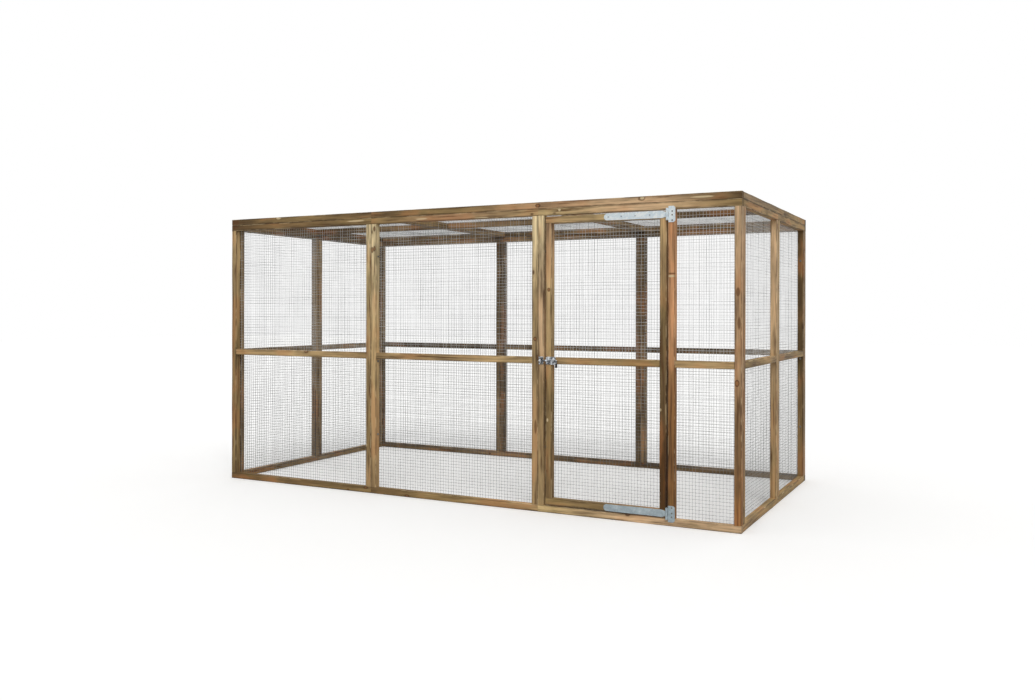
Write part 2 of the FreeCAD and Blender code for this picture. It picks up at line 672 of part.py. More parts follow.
left_back = ("head", "back_left_corner_stiles"), ("tip", "left_join_stiles")
left_front = ("head", "left_join_stiles"), ("head", "front_left_corner_stiles")
for step, (name, fixings) in enumerate((("left_back", left_back), ("left_front", left_front))):
    spot = (left_end, f"{SIDE_END} - {step} * {SIDE_PITCH}", "0")
    wall_panel("left", name, SIDE_WIDTH, spot, LEFT_TURN, *fixings)

# Roof
roof_lines = ("left_eaves_timbers", "roof_left_join_stiles", "roof_right_join_stiles", "right_eaves_timbers")
for step, side in enumerate(("left", "middle", "right")):
    spot = (f"{left_end} + {step} * {PANEL_PITCH}", front, f"dims.run_height - {MESH_DEPTH}")
    roof_panel(f"roof_{side}", spot, roof_lines[step], roof_lines[step + 1])

# Door, hinges and bolt
door(door_spot)
for end in HINGE_HEIGHTS:
    hinge(end, door_spot)
bolt(door_spot)

# Timbers in line with each other, and fixings gathered by what they hold
for name, members in groups.items():
    node(name, members, home)
flange_spots = flange_screw_spots("bottom") + flange_screw_spots("top")
strap_spots = strap_screw_spots("bottom") + strap_screw_spots("top")
node("frame_hardware_screws", face_screws(flange_spots, "dims.hinge_plate")
     + face_screws(keeper_screw_spots(), "dims.latch_plate"), door_spot)
node("door_hardware_screws", face_screws(strap_spots, "dims.hinge_plate")
     + face_screws(latch_screw_spots(), "dims.latch_plate"), door_spot)

doc.recompute()
for thing in doc.Objects:
    if "Invalid" in thing.State or "Error" in thing.State:
        raise RuntimeError(f"{thing.Label} did not build: {thing.State}")
for thing in nodes:
    if thing.Shape.isNull() or not thing.Shape.isValid():
        raise RuntimeError(f"{thing.Label} has no valid shape")

os.makedirs("parts", exist_ok=True)
for thing in nodes:
    thing.Shape.exportStep(f"parts/{thing.Label}.step")
print(len(nodes), "sub-parts,", sum(len(thing.Shape.Solids) for thing in nodes), "solids")
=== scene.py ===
"""Dress the pet run: treated softwood timbers, welded wire mesh and galvanised fittings."""

import json
import logging
import math
import random
from dataclasses import dataclass, field
from enum import Enum
from typing import Any, Dict, Iterator, List, Optional, Sequence, Tuple, Union

import bpy
from mathutils import Matrix, Vector

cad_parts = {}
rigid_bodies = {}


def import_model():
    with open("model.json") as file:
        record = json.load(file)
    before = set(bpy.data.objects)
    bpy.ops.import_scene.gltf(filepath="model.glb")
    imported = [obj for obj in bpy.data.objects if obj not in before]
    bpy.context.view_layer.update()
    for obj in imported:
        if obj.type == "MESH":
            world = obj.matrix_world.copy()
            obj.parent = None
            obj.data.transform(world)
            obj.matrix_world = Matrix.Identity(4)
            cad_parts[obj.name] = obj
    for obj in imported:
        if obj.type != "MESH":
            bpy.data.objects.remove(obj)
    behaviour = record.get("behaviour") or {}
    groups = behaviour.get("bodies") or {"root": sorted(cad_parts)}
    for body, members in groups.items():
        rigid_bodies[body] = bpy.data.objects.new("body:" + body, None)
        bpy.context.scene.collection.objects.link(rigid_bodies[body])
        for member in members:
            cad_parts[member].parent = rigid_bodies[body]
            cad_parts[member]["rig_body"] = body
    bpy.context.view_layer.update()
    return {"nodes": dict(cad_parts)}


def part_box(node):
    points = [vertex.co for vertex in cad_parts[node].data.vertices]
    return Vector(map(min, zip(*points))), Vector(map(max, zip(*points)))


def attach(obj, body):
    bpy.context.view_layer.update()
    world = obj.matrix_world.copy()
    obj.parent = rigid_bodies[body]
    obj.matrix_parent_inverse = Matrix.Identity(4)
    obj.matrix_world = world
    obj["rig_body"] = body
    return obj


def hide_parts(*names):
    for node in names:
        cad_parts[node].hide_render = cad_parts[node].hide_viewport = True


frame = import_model()
CAD_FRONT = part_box("front_bottom_rails")[0][1]
BACK, UP = 1, 2
FULL_PHASE = 6.28
SHEET_ENDING = "_mesh"
SCREW_EASING = 0.0003
KNOB_EASING = 0.0012
log = logging.getLogger("pet_run")

Colour = Tuple[float, float, float]
Place = Tuple[float, float, float]
Pair = Tuple[float, float]
Triple = Tuple["Signal", "Signal", "Signal"]
Value = Union["Signal", float, Sequence[float]]
Finish = Union["GalvanisedFinish", "MouldedFinish"]

# How much chance may add to the dullness of a wall's level and upright wires, or take from it
EVEN_DULL: Pair = (0.05, 0.5)
WALL_DULL: Dict[str, Pair] = {
    "front_left": (0.5, 0.4),
    "front_middle": (0.2, 1.0),
    "door": (-0.1, 0.2),
    "beside_door": (-1.5, -1.2),
    "left_front": (0.5, -0.2),
    "left_back": (0.5, -0.2),
    "right_front": (0.4, -3.0),
    "right_back": (0.4, -3.0),
}


def linear(colour: Colour) -> Colour:
    """Turn a colour written as 0 to 255 on a screen into the light that it stands for."""
    shares = (part / 255.0 for part in colour)
    return tuple(s / 12.92 if s <= 0.04045 else ((s + 0.055) / 1.055) ** 2.4 for s in shares)


def point(axis: int, along: float, across: float, deep: float) -> Vector:
    """A point from its place along an axis and along the two that follow it."""
    return Vector([(along, across, deep)[(i - axis) % 3] for i in range(3)])


class Tone(Enum):
    """The board colours that occur on the run: bleached, weathered, reddish or in shade."""

    CHALK = (212, 192, 150)
    STRAW = (196, 170, 121)
    HONEY = (177, 150, 107)
    TAN = (158, 131, 92)
    MOSS = (140, 116, 76)
    BARK = (120, 96, 62)
    UMBER = (99, 76, 45)
    HEART = (78, 50, 18)
    ROSE = (186, 138, 98)
    RUST = (136, 96, 55)
    SAND = (198, 167, 130)
    CLAY = (136, 104, 69)
    FAWN = (164, 132, 98)
    # Painted shade: these two darker browns stand for the shade that the back, side and roof timbers lie in.
    PAINTED_SHADE = (134, 113, 85)
    PAINTED_DEEP_SHADE = (94, 77, 55)


class Signal:
    """One output of a shader node, which takes part in sums as a number does."""

    def __init__(self, sheet: "NodeSheet", socket: bpy.types.NodeSocket) -> None:
        """Keep the socket and the sheet that it is drawn on."""
        self.sheet = sheet
        self.socket = socket

    def math(self, operation: str, *values: Value) -> "Signal":
        """Put a math node after the given values."""
        return self.sheet.node("ShaderNodeMath", {"operation": operation}, dict(enumerate(values)))

    def __add__(self, other: Value) -> "Signal":
        """Add a value."""
        return self.math("ADD", self, other)

    def __radd__(self, other: Value) -> "Signal":
        """Add to a value."""
        return self.math("ADD", other, self)

    def __sub__(self, other: Value) -> "Signal":
        """Take a value away."""
        return self.math("SUBTRACT", self, other)

    def __rsub__(self, other: Value) -> "Signal":
        """Take this away from a value."""
        return self.math("SUBTRACT", other, self)

    def __mul__(self, other: Value) -> "Signal":
        """Multiply by a value."""
        return self.math("MULTIPLY", self, other)

    def __rmul__(self, other: Value) -> "Signal":
        """Multiply a value by this."""
        return self.math("MULTIPLY", other, self)

    def __pow__(self, other: Value) -> "Signal":
        """Raise to a power."""
        return self.math("POWER", self, other)

    def __rpow__(self, other: Value) -> "Signal":
        """Raise a value to this power."""
        return self.math("POWER", other, self)

    def swing(self) -> "Signal":
        """How far a cloudy value is from its middle."""
        return self - 0.5

    def wave(self, pitch: float) -> "Signal":
        """A wave of this pitch, from nought to one."""
        return self.math("SINE", self * (2.0 * math.pi / pitch)) * 0.5 + 0.5

    def clamp(self) -> "Signal":
        """This, kept from nought to one."""
        return self.math("MINIMUM", self.math("MAXIMUM", self, 0.0), 1.0)

    def ramp(self, low: float, high: float) -> "Signal":
        """A soft step from nought at one value to one at another.

        Args:
            low: the value at which the step begins.
            high: the value at which it is complete, which may be the lower of the two.

        Returns:
            The step.
        """
        inputs = {0: self, 1: low, 2: high, 3: 0.0, 4: 1.0}
        return self.sheet.node("ShaderNodeMapRange", {"interpolation_type": "SMOOTHSTEP"}, inputs)


class NodeSheet:
    """The nodes of a material or of the world, with one way to add any of them."""

    FIRST_COLOUR, SECOND_COLOUR, MIXED_COLOUR = 6, 7, 2

    def __init__(self, owner: Union[bpy.types.Material, bpy.types.World]) -> None:
        """Empty the owner's nodes.

        Args:
            owner: the material or the world.
        """
        owner.use_nodes = True
        self.owner = owner
        self.tree = owner.node_tree
        self.tree.nodes.clear()

    @classmethod
    def material(cls, name: str) -> "NodeSheet":
        """Start an empty material."""
        return cls(bpy.data.materials.new(name))

    def node(self, kind: str, settings: Optional[Dict[str, Any]] = None,
             inputs: Optional[Dict[Any, Value]] = None, output: Any = 0) -> Signal:
        """Add a node.

        Args:
            kind: the node's type.
            settings: properties, which are set first.
            inputs: values or links, by the socket's name or number.
            output: the name or number of the wanted output.

        Returns:
            The wanted output.
        """
        made = self.tree.nodes.new(kind)
        for name, setting in (settings or {}).items():
            setattr(made, name, setting)
        for key, value in (inputs or {}).items():
            self.feed(made.inputs[key], value)
        return Signal(self, made.outputs[output])

    def feed(self, socket: bpy.types.NodeSocket, value: Value) -> None:
        """Link a signal to a socket, or set a plain value on it.

        Args:
            socket: an input of a node.
            value: the signal or the plain value.
        """
        if isinstance(value, Signal):
            self.tree.links.new(value.socket, socket)
        else:
            socket.default_value = value

    def mark(self, name: str, output: str) -> Signal:
        """A mark that the mesh carries under this name."""
        return self.node("ShaderNodeAttribute", {"attribute_name": name}, output=output)

    def vector(self, x: Value, y: Value, z: Value) -> Signal:
        """Three values as one vector."""
        return self.node("ShaderNodeCombineXYZ", inputs={0: x, 1: y, 2: z})

    def split(self, vector: Signal) -> Triple:
        """The three values of a vector."""
        outputs = self.node("ShaderNodeSeparateXYZ", inputs={0: vector}).socket.node.outputs
        return Signal(self, outputs[0]), Signal(self, outputs[1]), Signal(self, outputs[2])

    def stretch(self, parts: Triple, run: float, side: float, shift: float = 0.0) -> Signal:
        """A place whose first part is scaled by itself and moved on, and whose other two are scaled alike."""
        first, second, third = parts
        return self.vector(first * run + shift, second * side, third * side)

    def move(self, operation: str, first: Value, second: Value, output: str = "Vector") -> Signal:
        """Two vectors put through one operation."""
        return self.node("ShaderNodeVectorMath", {"operation": operation}, {0: first, 1: second}, output)

    def noise(self, vector: Signal, scale: float = 1.0, detail: float = 2.0, rough: float = 0.5) -> Signal:
        """Cloudy noise about a half."""
        inputs = {"Vector": vector, "Scale": scale, "Detail": detail, "Roughness": rough}
        return self.node("ShaderNodeTexNoise", inputs=inputs)

    def cells(self, vector: Signal, scale: float = 1.0) -> Tuple[Signal, Signal]:
        """Distance to the nearest cell's middle, and a chance value for that cell."""
        near = self.node("ShaderNodeTexVoronoi", inputs={"Vector": vector, "Scale": scale}, output="Distance")
        return near, self.split(Signal(self, near.socket.node.outputs["Color"]))[0]

    def mix(self, share: Value, first: Value, second: Value, blend: str = "MIX") -> Signal:
        """Mix two colours.

        Args:
            share: how much of the second is taken.
            first: the first colour.
            second: the second colour.
            blend: how they are mixed.

        Returns:
            The mixed colour.
        """
        pair = [c if isinstance(c, Signal) else (*c, 1.0) for c in (first, second)]
        settings = {"data_type": "RGBA", "blend_type": blend}
        inputs = {0: share, self.FIRST_COLOUR: pair[0], self.SECOND_COLOUR: pair[1]}
        return self.node("ShaderNodeMix", settings, inputs, self.MIXED_COLOUR)

    def shaded(self, colour: Signal, shade: Signal) -> Signal:
        """A colour made lighter or darker."""
        return self.mix(1.0, colour, self.vector(shade, shade, shade), "MULTIPLY")

    def surface(self, colour: Value, roughness: Value, metallic: Value, height: Signal, depth: float,
                **constants: Any) -> bpy.types.Material:
        """Close the sheet with a surface.

        Args:
            colour: the base colour.
            roughness: how dull it is.
            metallic: how much of it is bare metal.
            height: the relief.
            depth: how deep the relief goes, in metres.
            **constants: other values, set on the surface's own sockets.

        Returns:
            The finished material.
        """
        bump = self.node("ShaderNodeBump", inputs={"Strength": 1.0, "Distance": depth, "Height": height})
        inputs = {"Base Color": colour, "Roughness": roughness, "Metallic": metallic, "Normal": bump}
        shader = self.node("ShaderNodeBsdfPrincipled", inputs={**inputs, **constants})
        self.close(shader)
        return self.owner

    def backdrop(self) -> Signal:
        """Pick the rays that show this as a background, straight, in metal or through glass.

        Returns:
            One for those rays, nought for the others.
        """
        rays = ("Is Camera Ray", "Is Glossy Ray", "Is Transmission Ray")
        seen = self.node("ShaderNodeLightPath", output=rays[0])
        outputs = seen.socket.node.outputs
        for ray in rays[1:]:
            seen = seen + Signal(self, outputs[ray])
        return seen.clamp()

    def close(self, shader: Signal) -> None:
        """Send a shader to the owner's surface.

        Args:
            shader: the last shader of the sheet.
        """
        world = isinstance(self.owner, bpy.types.World)
        made = self.tree.nodes.new("ShaderNodeOutputWorld" if world else "ShaderNodeOutputMaterial")
        self.feed(made.inputs["Surface"], shader)


class Stain(Enum):
    """The colours that the wood takes in single places."""

    MOSS = (104, 92, 36)
    BLUSH = (184, 120, 74)
    BLEACH = (226, 204, 162)
    HEART = (92, 56, 22)
    KNOT = (74, 42, 18)
    CORE = (176, 124, 78)
    # Dark brown of cracks, and of the grime and painted shade at the joints between boards.
    CRACK_AND_JOINT_SHADE = (34, 22, 12)


class Flaw(Enum):
    """A mark that one place on a board shows."""

    KNOT = "knot"
    CHIP = "chip"
    BLOT = "blot"


@dataclass(frozen=True)
class Blemish:
    """A flaw on the front of the run: its place along and up, and how far it reaches, in metres."""

    flaw: Flaw
    x: float
    z: float
    wide: float
    tall: float
    depth: float = 0.03

    def place(self) -> Place:
        """Its middle, on the front of the boards."""
        return self.x, CAD_FRONT, self.z

    def reach(self) -> Place:
        """How far it goes along each axis."""
        return self.wide, self.depth, self.tall


@dataclass(frozen=True)
class Weave:
    """A cloudy figure in the wood: its counts along and across the grain, and how it shades the wood."""

    along: float
    across: float
    shift: float = 0.0
    detail: float = 3.0
    rough: float = 0.5
    weight: float = 0.0
    span: Pair = (0.30, 0.70)

    def lay(self, sheet: NodeSheet, grain: Triple) -> Signal:
        """The figure, laid along a board."""
        place = sheet.stretch(grain, self.along, self.across, self.shift)
        return sheet.noise(place, detail=self.detail, rough=self.rough)

    def shade(self, figure: Signal) -> Signal:
        """How much the laid figure lightens the wood, or darkens it."""
        return figure.ramp(*self.span).swing() * self.weight


@dataclass(frozen=True)
class Wash:
    """A colour laid over the wood where a figure passes from one value to another."""

    stain: Stain
    strength: float
    step: Pair

    def mask(self, figure: Signal) -> Signal:
        """Where the wash lies."""
        return figure.ramp(*self.step)

    def over(self, sheet: NodeSheet, colour: Signal, mask: Signal) -> Signal:
        """Lay the wash over a colour."""
        return sheet.mix(mask * self.strength, colour, linear(self.stain.value))


@dataclass(frozen=True)
class TimberFinish:
    """Pressure-treated, machine-planed softwood that has stood outside for a season."""

    name: str
    blemishes: Sequence[Blemish] = ()
    level: float = 1.30
    streak: Weave = Weave(4.2, 78.0, detail=4.0, rough=0.6, weight=0.60)
    band: Weave = Weave(1.7, 24.0, shift=5.0, weight=0.56, span=(0.34, 0.66))
    patch: Weave = Weave(3.6, 9.0, weight=0.52, span=(0.32, 0.68))
    fibre: Weave = Weave(14.0, 420.0, rough=0.6, weight=0.46)
    stain: Weave = Weave(7.3, 21.0, shift=9.0, detail=4.0, rough=0.65)
    drift: Weave = Weave(1.4, 9.0)
    split: Weave = Weave(2.6, 190.0, shift=3.0, detail=2.0)
    ring_pitch: float = 0.0042
    ring_edge: float = 3.0
    ring_dark: float = 0.12
    ring_drift: float = 0.034
    flame_pitch: float = 0.0135
    flame_edge: float = 2.0
    flame_dark: float = 0.16
    moss: Wash = Wash(Stain.MOSS, 0.28, (0.54, 0.70))
    blush: Wash = Wash(Stain.BLUSH, 0.36, (0.50, 0.66))
    bleach: Wash = Wash(Stain.BLEACH, 0.30, (0.62, 0.78))
    heart: Wash = Wash(Stain.HEART, 0.74, (0.47, 0.32))
    heart_band: Pair = (0.60, 0.42)
    knot_count: Pair = (8.0, 15.0)
    knot_chance: Pair = (0.72, 0.74)
    knot_fray: float = 0.10
    knot: Wash = Wash(Stain.KNOT, 0.80, (0.19, 0.12))
    core: Wash = Wash(Stain.CORE, 0.50, (0.12, 0.06))
    halo: Pair = (0.46, 0.16)
    halo_dark: float = 0.20
    check: Wash = Wash(Stain.CRACK_AND_JOINT_SHADE, 0.66, (0.68, 0.75))
    check_patch: Pair = (0.42, 0.60)
    # Partly grime, partly painted shade for the dark lines at the joints between boards.
    grime_and_joint_shade: Wash = Wash(Stain.CRACK_AND_JOINT_SHADE, 0.46, (0.30, 0.56))
    worn: Wash = Wash(Stain.BLEACH, 0.40, (0.50, 0.40))
    worn_arris: Pair = (0.90, 1.0)
    flaw_fray: float = 0.9
    flaw_knot: Wash = Wash(Stain.KNOT, 0.85, (1.0, 0.62))
    flaw_core: Wash = Wash(Stain.CORE, 0.70, (0.62, 0.30))
    flaw_chip: Wash = Wash(Stain.BLEACH, 0.85, (1.0, 0.62))
    flaw_blot: Wash = Wash(Stain.HEART, 0.70, (1.0, 0.62))
    sawn_level: float = 0.78
    sawn_ring: float = 0.34
    sawn_fibre: float = 0.30
    roughness: float = 0.70
    streak_rough: float = 0.22
    worn_rough: float = 0.08
    sawn_rough: float = 0.12
    sheen: float = 0.28
    relief: float = 0.0011
    fibre_lift: float = 0.35
    streak_lift: float = 0.25
    ring_sink: float = 0.20
    check_sink: float = 0.9
    knot_lift: float = 0.35

    def make(self) -> bpy.types.Material:
        """Build the material from the marks that each beam carries.

        Returns:
            The finished material.
        """
        sheet = NodeSheet.material(self.name)
        grain = sheet.split(sheet.mark("grain", "Vector"))
        tone = sheet.mark("tone", "Color")
        arris = sheet.mark("arris", "Fac")
        end = sheet.mark("end", "Fac")
        figures = (self.streak, self.band, self.patch, self.fibre, self.stain)
        streak, band, patch, fibre, stain = (weave.lay(sheet, grain) for weave in figures)
        ring, flame = self.rings(sheet, grain)
        knot, core, halo = self.knots(sheet, grain, stain)
        check = self.check.mask(self.split.lay(sheet, grain)) * patch.ramp(*self.check_patch)

        shade = self.level + self.streak.shade(streak) + self.band.shade(band) + self.patch.shade(patch)
        shade = shade + fibre.swing() * self.fibre.weight
        shade = shade - ring * self.ring_dark - flame * self.flame_dark - halo * self.halo_dark
        colour = sheet.shaded(tone, shade)
        heart = self.heart.mask(streak) * band.ramp(*self.heart_band)
        washes = ((self.moss, self.moss.mask(stain)), (self.blush, self.blush.mask(patch)),
                  (self.bleach, self.bleach.mask(streak)), (self.heart, heart), (self.knot, knot),
                  (self.core, core), (self.check, check))
        for wash, mask in washes:
            colour = wash.over(sheet, colour, mask)
        colour = self.blemish(sheet, colour, stain)
        # Darker near the arrises: partly grime, partly painted shade at the joints between boards.
        colour = self.grime_and_joint_shade.over(sheet, colour, arris.ramp(0.0, 1.0) * self.grime_and_joint_shade.mask(stain))
        worn = arris.ramp(*self.worn_arris) * self.worn.mask(stain)
        colour = self.worn.over(sheet, colour, worn)
        sawn = self.sawn_level - ring * self.sawn_ring + fibre.swing() * self.sawn_fibre
        colour = sheet.mix(end, colour, sheet.shaded(tone, sawn))

        rough = self.roughness + streak.swing() * self.streak_rough - worn * self.worn_rough
        rough = (rough + end * self.sawn_rough).clamp()
        height = fibre * self.fibre_lift + streak * self.streak_lift - ring * self.ring_sink
        height = height - check * self.check_sink + knot * self.knot_lift
        return sheet.surface(colour, rough, 0.0, height, self.relief, **{"Specular IOR Level": self.sheen})

    def rings(self, sheet: NodeSheet, grain: Triple) -> Tuple[Signal, Signal]:
        """The year rings, and the broad flames that they draw on a board's face.

        Args:
            sheet: the material's nodes.
            grain: the place along, across and deep in the board.

        Returns:
            The rings and the flames, each from nought to one.
        """
        _, across, deep = grain
        wander = self.drift.lay(sheet, grain).swing() * self.ring_drift
        radius = (across * across + deep * deep) ** 0.5 + wander
        ring = radius.wave(self.ring_pitch) ** self.ring_edge
        return ring, radius.wave(self.flame_pitch) ** self.flame_edge

    def knots(self, sheet: NodeSheet, grain: Triple, stain: Signal) -> Triple:
        """The small knots that are scattered through the wood.

        Args:
            sheet: the material's nodes.
            grain: the place along, across and deep in the board.
            stain: a cloudy value that frays their edges.

        Returns:
            Their rims, their cores and the bent grain around them.
        """
        near, chance = sheet.cells(sheet.stretch(grain, *self.knot_count))
        picked = chance.ramp(*self.knot_chance)
        ragged = near + stain.swing() * self.knot_fray
        halo = ragged.ramp(*self.halo) * picked
        return self.knot.mask(ragged) * picked, self.core.mask(ragged) * picked, halo

    def blemish(self, sheet: NodeSheet, colour: Signal, ragged: Signal) -> Signal:
        """Lay the single flaws over the wood.

        Args:
            sheet: the material's nodes.
            colour: the wood's colour so far.
            ragged: a cloudy value that frays the flaws' edges.

        Returns:
            The colour with the flaws.
        """
        layers = {Flaw.KNOT: (self.flaw_knot, self.flaw_core), Flaw.CHIP: (self.flaw_chip,),
                  Flaw.BLOT: (self.flaw_blot,)}
        place = sheet.node("ShaderNodeTexCoord", output="Object")
        for item in self.blemishes:
            away = sheet.move("DIVIDE", sheet.move("SUBTRACT", place, item.place()), item.reach())
            far = sheet.move("LENGTH", away, (0.0, 0.0, 0.0), "Value") + ragged.swing() * self.flaw_fray
            for wash in layers[item.flaw]:
                colour = wash.over(sheet, colour, wash.mask(far))
        return colour


@dataclass(frozen=True)
class GalvanisedFinish:
    """Zinc-coated steel with its frosted flakes, dull streaks and a few rubbed places, and blotches of
    painted reflection where they are set to show.
    """

    name: str
    light: Colour
    dark: Colour
    flake: float = 0.005
    cloud: float = 0.038
    reflection_contrast: float = 0.0
    metallic: float = 0.2
    roughness: float = 0.42
    flake_frost: float = 0.34
    cloud_frost: float = 0.5
    rim_frost: float = 0.1
    grit_frost: float = 0.3
    flake_rough: float = 0.16
    bloom_rough: float = 0.18
    rub_rough: float = 0.10
    bloom_metal: float = 0.2
    frost_step: Pair = (0.30, 0.70)
    reflection_blotch_step: Pair = (0.48, 0.57)
    bloom: Colour = (226, 232, 234)
    bloom_step: Pair = (0.58, 0.72)
    bloom_strength: float = 0.30
    grit_count: float = 900.0
    rub_count: Pair = (60.0, 420.0)
    rub_step: Pair = (0.60, 0.72)
    relief: float = 0.00018
    flake_lift: float = 0.3
    grit_lift: float = 0.5
    rub_lift: float = 0.3
    weather: float = 0.0
    lead: Colour = (46, 48, 50)
    reach_count: float = 5.0
    reach_step: Pair = (0.36, 0.62)
    reach_dull: float = 0.6
    even_dull: float = 0.4
    splash_dull: float = 0.4
    soil: float = 0.0
    soil_step: Pair = (1.0, 0.45)
    soil_fray: float = 0.5
    mud: Colour = (86, 84, 79)

    def make(self) -> bpy.types.Material:
        """Build the material in the piece's own coordinates.

        Returns:
            The finished material.
        """
        sheet = NodeSheet.material(self.name)
        place = sheet.node("ShaderNodeTexCoord", output="Object")
        near, chance = sheet.cells(place, 1.0 / self.flake)
        cloud = sheet.noise(place, 1.0 / self.cloud, detail=4.0, rough=0.6)
        grit = sheet.noise(place, self.grit_count)
        rub = sheet.noise(sheet.stretch(sheet.split(place), *self.rub_count))
        frost = chance * self.flake_frost + cloud.ramp(*self.frost_step) * self.cloud_frost
        frost = frost + near * self.rim_frost
        # With a high contrast, as on the bolt, the dark and light blotches are painted reflections.
        reflection_blotch = cloud.ramp(*self.reflection_blotch_step)
        share = frost * (1.0 - self.reflection_contrast) + reflection_blotch * self.reflection_contrast + grit.swing() * self.grit_frost
        colour = sheet.mix(share.clamp(), linear(self.dark), linear(self.light))
        bloom = cloud.ramp(*self.bloom_step)
        colour = sheet.mix(bloom * self.bloom_strength, colour, linear(self.bloom))
        if self.weather:
            colour = self.weathered(sheet, colour, place, cloud)
        rough = self.roughness + chance.swing() * self.flake_rough + bloom * self.bloom_rough
        rough = rough - rub.ramp(*self.rub_step) * self.rub_rough
        metal = self.metallic - bloom * self.bloom_metal
        height = chance * self.flake_lift + grit * self.grit_lift + rub * self.rub_lift
        return sheet.surface(colour, rough.clamp(), metal.clamp(), height, self.relief)

    def weathered(self, sheet: NodeSheet, colour: Signal, place: Signal, cloud: Signal) -> Signal:
        """Splash the zinc with soil near the ground and dull it where the mesh is marked.

        Args:
            sheet: the material's nodes.
            colour: the zinc's colour so far.
            place: the place on the piece.
            cloud: a cloudy value that frays the soil's upper edge.

        Returns:
            The weathered colour.
        """
        reach = sheet.noise(place, self.reach_count).ramp(*self.reach_step)
        splash = (sheet.split(place)[2] + cloud.swing() * self.soil_fray).ramp(*self.soil_step)
        exposed = reach * self.reach_dull + self.even_dull + splash * self.splash_dull
        dull = (sheet.mark("dull", "Fac") * exposed).clamp()
        colour = sheet.mix(splash * self.soil, colour, linear(self.mud))
        return sheet.mix(dull * self.weather, colour, linear(self.lead))


@dataclass(frozen=True)
class MouldedFinish:
    """Matt moulded plastic with a fine grain and scuffed edges."""

    name: str
    colour: Colour
    scuff: Colour
    grain_count: float = 1400.0
    scuff_count: float = 190.0
    scuff_step: Pair = (0.58, 0.74)
    scuff_strength: float = 0.5
    roughness: float = 0.46
    scuff_rough: float = 0.22
    grain_rough: float = 0.12
    relief: float = 0.0001

    def make(self) -> bpy.types.Material:
        """Build the material in the piece's own coordinates.

        Returns:
            The finished material.
        """
        sheet = NodeSheet.material(self.name)
        place = sheet.node("ShaderNodeTexCoord", output="Object")
        grain = sheet.noise(place, self.grain_count)
        scuffs = sheet.noise(place, self.scuff_count, detail=4.0, rough=0.7).ramp(*self.scuff_step)
        colour = sheet.mix(scuffs * self.scuff_strength, linear(self.colour), linear(self.scuff))
        rough = self.roughness + scuffs * self.scuff_rough + grain.swing() * self.grain_rough
        return sheet.surface(colour, rough.clamp(), 0.0, grain, self.relief)


@dataclass
class Draft:
    """Points, faces and the marks that a material reads, gathered before they become a mesh."""

    points: List[Vector] = field(default_factory=list)
    normals: List[Vector] = field(default_factory=list)
    faces: List[Tuple[int, ...]] = field(default_factory=list)
    grain: List[Vector] = field(default_factory=list)
    tone: List[Tuple[float, ...]] = field(default_factory=list)
    arris: List[float] = field(default_factory=list)
    end: List[float] = field(default_factory=list)
    dull: List[float] = field(default_factory=list)

    def ring(self, points: Sequence[Vector], normals: Sequence[Vector]) -> List[int]:
        """Add a ring of points.

        Args:
            points: the points, in order round the ring.
            normals: the way that the surface faces at each.

        Returns:
            The points' numbers.
        """
        start = len(self.points)
        self.points.extend(points)
        self.normals.extend(normals)
        return list(range(start, len(self.points)))

    def bridge(self, first: Sequence[int], second: Sequence[int]) -> None:
        """Close the band between two rings."""
        self.faces.extend(zip(first, (*first[1:], first[0]), (*second[1:], second[0]), second))

    def make(self, name: str, material: bpy.types.Material) -> bpy.types.Object:
        """Turn the draft into an object.

        Args:
            name: the piece's name.
            material: its finish.

        Returns:
            The object, in the scene.
        """
        mesh = bpy.data.meshes.new(name)
        mesh.from_pydata(self.points, [], self.faces)
        mesh.materials.append(material)
        mesh.polygons.foreach_set("use_smooth", [True] * len(mesh.polygons))
        marks = (
            ("grain", "FLOAT_VECTOR", "vector", self.grain),
            ("tone", "FLOAT_COLOR", "color", self.tone),
            ("arris", "FLOAT", "value", self.arris),
            ("end", "FLOAT", "value", self.end),
            ("dull", "FLOAT", "value", self.dull),
        )
        for mark, kind, key, values in marks:
            if values:
                flat = values if kind == "FLOAT" else [part for value in values for part in value]
                mesh.attributes.new(mark, kind, "POINT").data.foreach_set(key, flat)
        mesh.normals_split_custom_set_from_vertices(self.normals)
        mesh.update()
        thing = bpy.data.objects.new(name, mesh)
        bpy.context.scene.collection.objects.link(thing)
        return thing


